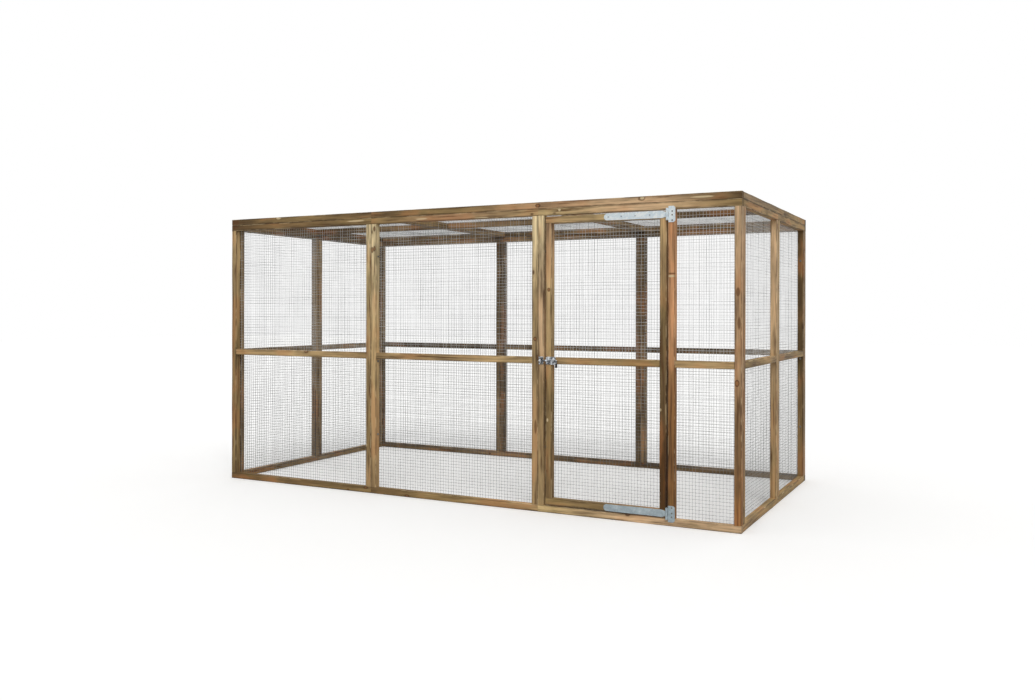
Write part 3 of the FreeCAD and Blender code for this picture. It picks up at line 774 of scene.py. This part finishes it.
@dataclass
class Beam:
    """One planed timber with eased arrises, drawn inside its solid's box."""

    low: Vector
    high: Vector
    tones: Sequence[Tone]
    seed: int
    planing: float = 0.00015
    easing: float = 0.0028
    easing_wave: float = 0.22
    wave_count: int = 3
    wave_rates: Pair = (3.0, 16.0)
    rim: float = 0.0055
    arc_steps: int = 3
    step: float = 0.045
    least_steps: int = 6
    end_easing: float = 0.0008
    pith_across: Pair = (0.02, 0.07)
    pith_deep: Pair = (0.0, 0.06)
    grain_span: float = 40.0

    def draw(self, draft: Draft) -> None:
        """Add the beam to a draft.

        Args:
            draft: where it is drawn.
        """
        chance = random.Random(self.seed)
        size = self.high - self.low
        along = max(range(3), key=lambda i: size[i])
        across, deep = (along + 1) % 3, (along + 2) % 3
        middle = (self.low + self.high) / 2
        half = (size[across] / 2 - self.planing, size[deep] / 2 - self.planing)
        piths = (self.pith_across, self.pith_deep)
        pith = [chance.choice((-1, 1)) * chance.uniform(*reach) for reach in piths]
        waves = [(chance.uniform(*self.wave_rates), chance.uniform(0.0, FULL_PHASE))
                 for _ in range(self.wave_count)]
        shift = chance.uniform(0.0, self.grain_span)
        first: List[int] = []
        last: List[int] = []
        for place, inset in self.places(size[along]):
            swell = sum(math.sin(rate * place + turn) for rate, turn in waves)
            ease = self.easing * (1.0 + self.easing_wave * swell)
            spots, normals, arris = self.section(half[0] - inset, half[1] - inset, ease)
            points = [point(along, self.low[along] + place, middle[across] + u, middle[deep] + v)
                      for u, v in spots]
            ring = draft.ring(points, [point(along, 0.0, u, v) for u, v in normals])
            shade = self.tone_at(place / size[along])
            draft.grain.extend(Vector((place + shift, u - pith[0], v - pith[1])) for u, v in spots)
            draft.tone.extend([shade] * len(ring))
            draft.arris.extend(arris)
            draft.end.extend([0.0] * len(ring))
            if last:
                draft.bridge(last, ring)
            first = first or ring
            last = ring
        self.cap(draft, first, along, -1.0)
        self.cap(draft, last, along, 1.0)

    def places(self, length: float) -> Iterator[Pair]:
        """Find where the rings lie along the beam.

        Args:
            length: the beam's length.

        Returns:
            Each ring's place, and how far it is drawn in.
        """
        yield 0.0, self.end_easing
        count = max(self.least_steps, int(length / self.step))
        for i in range(count + 1):
            yield self.end_easing + (length - 2 * self.end_easing) * i / count, 0.0
        yield length, self.end_easing

    def section(self, wide: float, tall: float, ease: float) -> Tuple[List[Pair], List[Pair], List[float]]:
        """The rounded rectangle of the beam: points, normals, and how near each is to an arris.

        Args:
            wide: half its width.
            tall: half its height.
            ease: the radius of its corners.

        Returns:
            The points, their normals and their marks, in order round the section.
        """
        spots, normals, arris = [], [], []
        for corner, (x, y) in enumerate(((1, 1), (-1, 1), (-1, -1), (1, -1))):
            for i in range(-1, self.arc_steps + 2):
                turn = math.pi / 2 * (corner + min(max(i, 0), self.arc_steps) / self.arc_steps)
                u, v = math.cos(turn), math.sin(turn)
                on_arc = 0 <= i <= self.arc_steps
                back = 0.0 if on_arc else self.rim
                flat_u, flat_v = abs(v) > 0.5, abs(u) > 0.5
                spots.append((x * (wide - ease - (back if flat_u else 0.0)) + u * ease,
                              y * (tall - ease - (back if flat_v else 0.0)) + v * ease))
                normals.append((u, v))
                arris.append(1.0 if on_arc else 0.0)
        return spots, normals, arris

    def tone_at(self, share: float) -> Tuple[float, ...]:
        """Find the board's colour at a place.

        Args:
            share: the place, as a share of the board's length.

        Returns:
            The colour, with a full alpha.
        """
        stops = [linear(tone.value) for tone in self.tones]
        spot = min(max(share, 0.0), 1.0) * (len(stops) - 1)
        i = min(int(spot), max(len(stops) - 2, 0))
        t = spot - i
        t = t * t * (3.0 - 2.0 * t)
        after = stops[min(i + 1, len(stops) - 1)]
        return (*(a + (b - a) * t for a, b in zip(stops[i], after)), 1.0)

    def cap(self, draft: Draft, ring: Sequence[int], along: int, side: float) -> None:
        """Close one end with sawn end grain.

        Args:
            draft: where it is drawn.
            ring: the end's points.
            along: the axis that the beam runs on.
            side: minus one for the low end, one for the high end.
        """
        face = [draft.points[i].copy() for i in ring]
        made = draft.ring(face, [point(along, side, 0.0, 0.0)] * len(ring))
        draft.grain.extend(draft.grain[i].copy() for i in ring)
        draft.tone.extend(draft.tone[i] for i in ring)
        draft.arris.extend([0.0] * len(ring))
        draft.end.extend([1.0] * len(ring))
        draft.faces.append(tuple(made) if side > 0 else tuple(reversed(made)))


class Pieces:
    """What every dressed piece of the run has in common."""

    node: str
    slot: str

    def body(self) -> str:
        """The body that the node rides on."""
        return frame["nodes"][self.node]["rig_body"]

    def seed(self) -> int:
        """A number of the node's own, for its chance draws."""
        return sum(map(ord, self.node))

    def settle(self, thing: bpy.types.Object) -> None:
        """Put a new piece in the place of its node.

        Args:
            thing: the new piece.
        """
        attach(thing, self.body())
        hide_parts(self.node)
        log.info("%s: %d points", thing.name, len(thing.data.vertices))


@dataclass
class TimberSet(Pieces):
    """The timbers of one node, each with its own board colours."""

    node: str
    boards: Sequence[Sequence[Tone]]
    slot: str
    seed_step: int = 31
    join_digits: int = 5
    order_digits: int = 2

    def solids(self) -> List[List[Vector]]:
        """Part the node's points by the solid that they belong to.

        Returns:
            The points of each solid.
        """
        mesh = frame["nodes"][self.node].data
        parent = list(range(len(mesh.vertices)))

        def root(i: int) -> int:
            """Find the point that stands for all those joined to one.

            Args:
                i: the one point.

            Returns:
                The point that stands for it.
            """
            while parent[i] != i:
                parent[i] = parent[parent[i]]
                i = parent[i]
            return i

        owner: Dict[Tuple[float, ...], int] = {}
        for vertex in mesh.vertices:
            key = tuple(round(c, self.join_digits) for c in vertex.co)
            parent[root(vertex.index)] = root(owner.setdefault(key, vertex.index))
        for edge in mesh.edges:
            parent[root(edge.vertices[0])] = root(edge.vertices[1])
        groups: Dict[int, List[Vector]] = {}
        for vertex in mesh.vertices:
            groups.setdefault(root(vertex.index), []).append(vertex.co)
        return list(groups.values())

    def boxes(self) -> List[Tuple[Vector, Vector]]:
        """Find the box of each solid in the node.

        Returns:
            The boxes, ordered from low to high, front to back and left to right.
        """
        found = [(Vector([min(p[i] for p in points) for i in range(3)]),
                  Vector([max(p[i] for p in points) for i in range(3)])) for points in self.solids()]
        digits = self.order_digits
        return sorted(found, key=lambda b: tuple(round(b[0][i] + b[1][i], digits) for i in (2, 1, 0)))

    def build(self, material: bpy.types.Material) -> None:
        """Draw the timbers and put them in the node's place.

        Args:
            material: their finish.
        """
        draft = Draft()
        for i, (low, high) in enumerate(self.boxes()):
            tones = self.boards[i % len(self.boards)]
            Beam(low, high, tones, seed=self.seed() * self.seed_step + i).draw(draft)
        self.settle(draft.make(f"timber_{self.node}", material))


@dataclass
class WireSheet(Pieces):
    """A sheet of welded wire mesh, stapled slack enough to wave a little."""

    node: str
    dull: Pair = EVEN_DULL
    slot: str = "galvanised_mesh"
    pitch: float = 0.01905
    radius: float = 0.00075
    sides: int = 5
    step: float = 0.1
    billow: float = 0.0022
    billow_count: int = 4
    billow_rates: Pair = (1.5, 5.5)
    billow_heights: Pair = (0.4, 1.0)
    sway: float = 0.0012
    sway_rates: Pair = (2.0, 7.0)
    stray: float = 0.0011
    dull_share: float = 0.36
    dull_range: Pair = (0.6, 1.0)
    bright_range: Pair = (0.0, 0.3)

    def build(self, material: bpy.types.Material) -> None:
        """Draw both layers of wires and put them in the node's place.

        Args:
            material: their finish.
        """
        low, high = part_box(self.node)
        size = high - low
        thin = min(range(3), key=lambda i: size[i])
        flat = [i for i in range(3) if i != thin]
        chance = random.Random(self.seed())
        waves = [(chance.uniform(*self.billow_rates), chance.uniform(*self.billow_rates),
                  chance.uniform(0.0, FULL_PHASE), chance.uniform(*self.billow_heights))
                 for _ in range(self.billow_count)]
        draft = Draft()
        for layer, (run, stack) in enumerate((flat, flat[::-1])):
            depth = low[thin] + self.radius if layer else high[thin] - self.radius
            height = size[stack] - 2 * self.radius
            count = round(height / self.pitch)
            for k in range(count + 1):
                offset = low[stack] + self.radius + height * k / count
                offset += chance.uniform(-self.stray, self.stray) if 0 < k < count else 0.0
                sway = (chance.uniform(0.0, FULL_PHASE), chance.uniform(*self.sway_rates))
                start = len(draft.points)
                self.wire(draft, low, size, (run, stack, thin), offset, depth, sway, waves)
                dull = self.dullness(chance, run == UP)
                draft.dull.extend([dull] * (len(draft.points) - start))
        self.settle(draft.make(f"wires_{self.node}", material))

    def dullness(self, chance: random.Random, upright: bool) -> float:
        """Draw how dull a wire is.

        Args:
            chance: where the draw comes from.
            upright: whether the wire stands upright.

        Returns:
            The wire's dullness, from nought.
        """
        marked = chance.random() < self.dull_share
        dull = chance.uniform(*(self.dull_range if marked else self.bright_range))
        return max(dull + chance.random() * self.dull[1 if upright else 0], 0.0)

    def wire(self, draft: Draft, low: Vector, size: Vector, axes: Tuple[int, int, int], offset: float,
             depth: float, sway: Pair, waves: Sequence[Tuple[float, ...]]) -> None:
        """Draw one wire, which the staples hold at the sheet's edges and at the middle rail.

        Args:
            draft: where it is drawn.
            low: the sheet's lowest corner.
            size: the sheet's extent.
            axes: the wire's own direction, the direction that wires are stacked in, and the thickness.
            offset: the wire's place in the stack.
            depth: its place in the thickness.
            sway: the phase and rate of its own small wave.
            waves: the sheet's billow, common to all its wires.
        """
        run, stack, thin = axes
        crossed = BACK if thin == UP else UP
        # An even count, so that a ring lies on the middle rail
        count = 2 * max(2, round(size[run] / self.step / 2))
        turns = [2 * math.pi * j / self.sides for j in range(self.sides)]
        normals = [point(run, 0.0, math.cos(turn), math.sin(turn)) for turn in turns]
        last: List[int] = []
        for i in range(count + 1):
            a, b = i / count, (offset - low[stack]) / size[stack]
            over, beside = (a, b) if run == crossed else (b, a)
            held = abs(math.sin(2 * math.pi * over)) * math.sin(math.pi * beside)
            x, y = (a, b) if run < stack else (b, a)
            swell = sum(w * math.sin(p * math.pi * x + q * math.pi * y + t) for p, q, t, w in waves)
            swell /= len(waves)
            middle = Vector((0.0, 0.0, 0.0))
            middle[run] = low[run] + size[run] * i / count
            middle[stack] = offset + held * self.sway * math.sin(sway[1] * math.pi * a + sway[0])
            middle[thin] = depth + held * self.billow * swell
            ring = draft.ring([middle + normal * self.radius for normal in normals], normals)
            if last:
                draft.bridge(last, ring)
            else:
                draft.faces.append(tuple(reversed(ring)))
            last = ring
        draft.faces.append(tuple(last))


@dataclass
class Fitting(Pieces):
    """A piece of hardware that keeps its own solid, with eased edges and a finish."""

    node: str
    slot: str = "galvanised_plate"
    easing: float = 0.0004
    easing_steps: int = 2
    edge_angle: float = 40.0
    flat_angle: float = 1.0
    weld_reach: float = 0.00001

    def build(self, material: bpy.types.Material) -> None:
        """Ease the edges of the node and give it its finish.

        Args:
            material: its finish.
        """
        thing = frame["nodes"][self.node]
        if not thing.material_slots:
            thing.data.materials.append(material)
        for place in thing.material_slots:
            place.material = material
        weld = thing.modifiers.new("joined", "WELD")
        weld.merge_threshold = self.weld_reach
        flat = thing.modifiers.new("flattened", "DECIMATE")
        flat.decimate_type = "DISSOLVE"
        flat.angle_limit = math.radians(self.flat_angle)
        bevel = thing.modifiers.new("eased", "BEVEL")
        bevel.width = self.easing
        bevel.segments = self.easing_steps
        bevel.limit_method = "ANGLE"
        bevel.angle_limit = math.radians(self.edge_angle)
        bevel.harden_normals = True
        log.info("%s keeps its solid", self.node)


@dataclass
class Studio:
    """The pale floor, the soft light and the camera."""

    dome: float = 0.72
    dome_colour: Tuple[float, ...] = (1.0, 0.995, 0.985, 1.0)
    white: Tuple[float, ...] = (1.0, 1.0, 1.0, 1.0)
    key: float = 1.15
    key_colour: Colour = (1.0, 0.985, 0.96)
    key_from: Place = (0.62, -0.95, 1.35)
    key_spread: float = 28.0
    floor_colour: Tuple[float, ...] = (0.978, 0.985, 0.992, 1.0)
    floor_glow: float = 0.06
    bounce_colour: Tuple[float, ...] = (0.30, 0.29, 0.28, 1.0)
    floor_size: float = 60.0
    floor_drop: float = 0.0006
    azimuth: float = 27.0872
    elevation: float = 0.0631
    roll: float = 0.1014
    stand: Place = (3.0559, -5.8349, 1.1810)
    lens: float = 32.477
    sensor: float = 36.0
    shift: Pair = (-0.00871, -0.03612)
    far_clip: float = 200.0

    def build(self) -> None:
        """Set up the floor, the light and the camera."""
        bpy.context.scene.view_settings.view_transform = "Standard"
        self.lay_floor()
        self.light_world()
        self.hang_key()
        self.place_camera()

    def lay_floor(self) -> None:
        """Lay a white floor that keeps a faint shadow."""
        half, down = self.floor_size / 2, -self.floor_drop
        mesh = bpy.data.meshes.new("floor")
        corners = [(-half, -half, down), (half, -half, down), (half, half, down), (-half, half, down)]
        mesh.from_pydata(corners, [], [(0, 1, 2, 3)])
        floor = bpy.data.objects.new("floor", mesh)
        bpy.context.scene.collection.objects.link(floor)
        sheet = NodeSheet.material("pale_floor")
        lit = sheet.node("ShaderNodeBsdfDiffuse", inputs={"Color": self.floor_colour})
        glow = sheet.node("ShaderNodeEmission", inputs={"Color": self.white, "Strength": self.floor_glow})
        both = sheet.node("ShaderNodeAddShader", inputs={0: lit, 1: glow})
        bounce = sheet.node("ShaderNodeBsdfDiffuse", inputs={"Color": self.bounce_colour})
        sheet.close(sheet.node("ShaderNodeMixShader", inputs={0: sheet.backdrop(), 1: bounce, 2: both}))
        mesh.materials.append(sheet.owner)

    def light_world(self) -> None:
        """Hang a white backdrop, and a dimmer dome for the light."""
        world = bpy.data.worlds.new("studio")
        bpy.context.scene.world = world
        sheet = NodeSheet(world)
        white = sheet.node("ShaderNodeBackground", inputs={"Color": self.white})
        dome = sheet.node("ShaderNodeBackground", inputs={"Color": self.dome_colour, "Strength": self.dome})
        sheet.close(sheet.node("ShaderNodeMixShader", inputs={0: sheet.backdrop(), 1: dome, 2: white}))

    def hang_key(self) -> None:
        """Hang a broad soft lamp, high in front and to the right."""
        lamp = bpy.data.lights.new("key", "SUN")
        lamp.energy = self.key
        lamp.angle = math.radians(self.key_spread)
        lamp.color = self.key_colour
        thing = bpy.data.objects.new("key", lamp)
        thing.rotation_euler = Vector(self.key_from).to_track_quat("Z", "Y").to_euler()
        bpy.context.scene.collection.objects.link(thing)

    def place_camera(self) -> None:
        """Stand the camera where the picture was taken from."""
        a, e, r = (math.radians(t) for t in (self.azimuth, self.elevation, self.roll))
        right = Vector((math.cos(a), math.sin(a), 0.0))
        back = Vector((math.sin(a) * math.cos(e), -math.cos(a) * math.cos(e), math.sin(e)))
        up = back.cross(right)
        side = right * math.cos(r) + up * math.sin(r)
        top = up * math.cos(r) - right * math.sin(r)
        data = bpy.data.cameras.new("camera")
        data.sensor_fit = "HORIZONTAL"
        data.sensor_width = self.sensor
        data.lens = self.lens
        data.shift_x, data.shift_y = self.shift
        data.clip_end = self.far_clip
        camera = bpy.data.objects.new("camera", data)
        camera.matrix_world = Matrix((side, top, back)).transposed().to_4x4()
        camera.matrix_world.translation = Vector(self.stand)
        bpy.context.scene.collection.objects.link(camera)
        bpy.context.scene.camera = camera


def timber_sets() -> List[TimberSet]:
    """List every timber of the run, with the colours that its boards run through from end to end.

    Returns:
        The timbers of each node.
    """
    t = Tone
    # Boards on the back, sides and roof mostly take the two shade tones, which are painted shade.
    walls = {
        "front_left_corner_stiles": ((t.MOSS, t.MOSS, t.HONEY), (t.PAINTED_SHADE, t.PAINTED_SHADE)),
        "front_left_join_stiles": ((t.TAN, t.MOSS, t.HONEY, t.STRAW, t.CHALK), (t.TAN, t.HONEY, t.CHALK)),
        "front_right_join_stiles": ((t.TAN, t.TAN, t.HONEY, t.CHALK), (t.HONEY, t.TAN, t.SAND, t.CHALK)),
        "front_right_corner_stiles": ((t.RUST, t.CLAY, t.FAWN, t.FAWN, t.SAND), (t.BARK, t.CLAY, t.FAWN)),
        "back_left_corner_stiles": ((t.PAINTED_SHADE, t.PAINTED_DEEP_SHADE), (t.PAINTED_DEEP_SHADE, t.PAINTED_SHADE)),
        "back_left_join_stiles": ((t.PAINTED_SHADE, t.PAINTED_DEEP_SHADE), (t.PAINTED_DEEP_SHADE, t.PAINTED_DEEP_SHADE)),
        "back_right_join_stiles": ((t.PAINTED_DEEP_SHADE, t.PAINTED_DEEP_SHADE), (t.PAINTED_SHADE, t.PAINTED_DEEP_SHADE)),
        "back_right_corner_stiles": ((t.BARK, t.UMBER), (t.PAINTED_SHADE, t.PAINTED_SHADE)),
        "left_join_stiles": ((t.PAINTED_SHADE, t.PAINTED_SHADE), (t.PAINTED_SHADE, t.MOSS)),
        "right_join_stiles": ((t.TAN, t.SAND), (t.TAN, t.HONEY)),
        "front_bottom_rails": ((t.UMBER, t.BARK, t.MOSS), (t.BARK, t.MOSS, t.TAN), (t.STRAW, t.SAND, t.SAND)),
        "front_mid_rails": ((t.TAN, t.HONEY, t.TAN), (t.TAN, t.HONEY)),
        "beside_door_rail": ((t.TAN, t.HONEY),),
        "back_bottom_rails": ((t.PAINTED_DEEP_SHADE, t.PAINTED_SHADE), (t.PAINTED_SHADE, t.PAINTED_DEEP_SHADE), (t.PAINTED_DEEP_SHADE, t.PAINTED_SHADE)),
        "back_mid_rails": ((t.PAINTED_DEEP_SHADE, t.PAINTED_DEEP_SHADE), (t.PAINTED_SHADE, t.PAINTED_DEEP_SHADE), (t.PAINTED_DEEP_SHADE, t.PAINTED_SHADE)),
        "left_bottom_rails": ((t.MOSS, t.PAINTED_SHADE), (t.PAINTED_SHADE, t.MOSS)),
        "left_mid_rails": ((t.TAN, t.PAINTED_SHADE), (t.PAINTED_SHADE, t.PAINTED_SHADE)),
        "right_bottom_rails": ((t.TAN, t.MOSS), (t.MOSS, t.MOSS)),
        "right_mid_rails": ((t.MOSS, t.TAN), (t.PAINTED_SHADE, t.MOSS)),
        "door_post": ((t.RUST, t.RUST, t.ROSE, t.ROSE),),
    }
    roofs = {
        "front_eaves_timbers": (
            (t.UMBER, t.BARK, t.MOSS), (t.MOSS, t.FAWN, t.HONEY), (t.STRAW, t.SAND, t.MOSS),
            (t.UMBER, t.MOSS, t.BARK), (t.BARK, t.MOSS, t.FAWN), (t.FAWN, t.SAND, t.BARK),
        ),
        "back_eaves_timbers": ((t.PAINTED_DEEP_SHADE, t.PAINTED_SHADE), (t.PAINTED_SHADE, t.PAINTED_DEEP_SHADE)),
        "left_eaves_timbers": ((t.PAINTED_SHADE, t.PAINTED_DEEP_SHADE), (t.PAINTED_DEEP_SHADE, t.PAINTED_SHADE), (t.PAINTED_DEEP_SHADE, t.PAINTED_DEEP_SHADE)),
        "right_eaves_timbers": ((t.MOSS, t.TAN), (t.TAN, t.MOSS), (t.PAINTED_SHADE, t.MOSS)),
        "roof_left_join_stiles": ((t.PAINTED_SHADE, t.PAINTED_DEEP_SHADE), (t.MOSS, t.PAINTED_SHADE)),
        "roof_right_join_stiles": ((t.MOSS, t.PAINTED_DEEP_SHADE), (t.PAINTED_SHADE, t.PAINTED_SHADE)),
        "roof_mid_rails": ((t.PAINTED_DEEP_SHADE, t.PAINTED_SHADE), (t.PAINTED_SHADE, t.PAINTED_SHADE), (t.PAINTED_SHADE, t.PAINTED_DEEP_SHADE)),
    }
    doors = {
        "door_latch_stile": ((t.BARK, t.MOSS, t.HONEY, t.FAWN),),
        "door_hinge_stile": ((t.HEART, t.HEART, t.UMBER, t.BARK, t.MOSS, t.TAN, t.HONEY),),
        "door_top_rail": ((t.HONEY, t.STRAW),),
        "door_mid_rail": ((t.TAN, t.MOSS),),
        "door_bottom_rail": ((t.MOSS, t.TAN),),
    }
    groups = ((walls, "wall_timber"), (roofs, "roof_timber"), (doors, "door_timber"))
    return [TimberSet(node, boards, slot) for sets, slot in groups for node, boards in sets.items()]


def blemishes() -> Dict[str, List[Blemish]]:
    """List the single flaws that catch the eye.

    Returns:
        The flaws, by the slot of the timber that shows them.
    """
    walls = [
        Blemish(Flaw.CHIP, 1.428, 1.378, 0.026, 0.008),
        Blemish(Flaw.BLOT, 1.428, 1.392, 0.026, 0.006),
        Blemish(Flaw.BLOT, 1.794, 1.287, 0.014, 0.030),
        Blemish(Flaw.BLOT, 1.800, 1.120, 0.010, 0.040),
        Blemish(Flaw.BLOT, -0.789, 0.006, 0.014, 0.010),
        Blemish(Flaw.KNOT, 0.585, 1.020, 0.013, 0.016),
        Blemish(Flaw.BLOT, -1.808, 0.250, 0.012, 0.060),
        Blemish(Flaw.CHIP, -0.614, 1.605, 0.007, 0.018),
        Blemish(Flaw.CHIP, -0.640, 0.310, 0.007, 0.014),
        Blemish(Flaw.KNOT, 1.790, 0.800, 0.014, 0.020),
        Blemish(Flaw.BLOT, 0.590, 0.500, 0.010, 0.050),
    ]
    roofs = [
        Blemish(Flaw.BLOT, 1.250, 1.814, 0.026, 0.016),
        Blemish(Flaw.CHIP, 1.254, 1.817, 0.015, 0.011),
        Blemish(Flaw.KNOT, 0.602, 1.806, 0.022, 0.014),
        Blemish(Flaw.CHIP, -1.385, 1.820, 0.024, 0.008),
        Blemish(Flaw.CHIP, -0.735, 1.773, 0.085, 0.006),
        Blemish(Flaw.CHIP, 0.744, 1.776, 0.010, 0.011),
        Blemish(Flaw.CHIP, -0.212, 1.764, 0.050, 0.005),
        Blemish(Flaw.CHIP, 0.217, 1.752, 0.070, 0.005),
        Blemish(Flaw.CHIP, 1.600, 1.806, 0.070, 0.006),
        Blemish(Flaw.BLOT, -1.800, 1.800, 0.060, 0.050),
    ]
    doors = [
        Blemish(Flaw.CHIP, 1.362, 0.638, 0.008, 0.012),
        Blemish(Flaw.CHIP, 0.668, 0.544, 0.007, 0.012),
        Blemish(Flaw.KNOT, 0.676, 1.310, 0.012, 0.014),
    ]
    return {"wall_timber": walls, "roof_timber": roofs, "door_timber": doors}


def hardware() -> List[Tuple[Finish, List[Fitting]]]:
    """List the hinges, the bolt and the screws.

    Returns:
        Each finish, with the pieces that have it.
    """
    # The two hinges are one zinc painted twice: the top one near white with painted light and reflection, the
    # bottom one darker with painted shade.
    painted_lit_hinge = GalvanisedFinish("hinge_zinc_painted_light", light=(250, 255, 255), dark=(208, 225, 236), cloud=0.03,
                              reflection_contrast=0.3, metallic=0.05)
    # The bolt's zinc: its near-black and near-white blotches are painted reflections.
    worn = GalvanisedFinish("bolt_zinc_painted_reflections", light=(240, 246, 252), dark=(24, 28, 38), cloud=0.014,
                            reflection_contrast=0.65, metallic=0.4, roughness=0.28)
    dull = GalvanisedFinish("hinge_zinc_painted_shade", light=(192, 206, 212), dark=(142, 158, 166))
    black = MouldedFinish("black_moulding", colour=(26, 26, 28), scuff=(70, 70, 72))
    screw = GalvanisedFinish("screw_zinc", light=(150, 146, 138), dark=(84, 82, 78), flake=0.002,
                             metallic=0.6)
    pale = GalvanisedFinish("pale_zinc", light=(206, 212, 216), dark=(138, 146, 154), flake=0.002,
                            metallic=0.4)
    hinge = ("hinge_strap", "hinge_flange", "hinge_pin")
    screws = ("wall_screws", "roof_screws", "frame_hardware_screws")
    return [
        # The top hinge takes the painted light copy of the zinc, the bottom one the painted shade copy.
        (painted_lit_hinge, [Fitting(f"{name}_top") for name in hinge]),
        (worn, [Fitting(name) for name in ("bolt_plate", "bolt_keeper", "bolt_rod")]),
        (dull, [Fitting(f"{name}_bottom") for name in hinge]),
        (black, [Fitting("bolt_knob", "black_knob", KNOB_EASING)]),
        (screw, [Fitting(name, "zinc_screw", SCREW_EASING) for name in screws]),
        (pale, [Fitting("door_hardware_screws", "zinc_screw", SCREW_EASING)]),
    ]


def main() -> None:
    """Build and dress every piece."""
    logging.basicConfig(level=logging.INFO, format="%(message)s")
    timber = {slot: TimberFinish(f"treated_{slot}", marks).make() for slot, marks in blemishes().items()}
    for timbers in timber_sets():
        timbers.build(timber[timbers.slot])
    wire = GalvanisedFinish("mesh_wire", light=(246, 248, 248), dark=(214, 216, 216), flake=0.02,
                            weather=0.95, soil=0.74, roughness=0.5).make()
    for name in sorted(n for n in frame["nodes"] if n.endswith(SHEET_ENDING)):
        WireSheet(name, WALL_DULL.get(name[:-len(SHEET_ENDING)], EVEN_DULL)).build(wire)
    for finish, fittings in hardware():
        material = finish.make()
        for fitting in fittings:
            fitting.build(material)
    Studio().build()


if __name__ == "__main__":
    main()
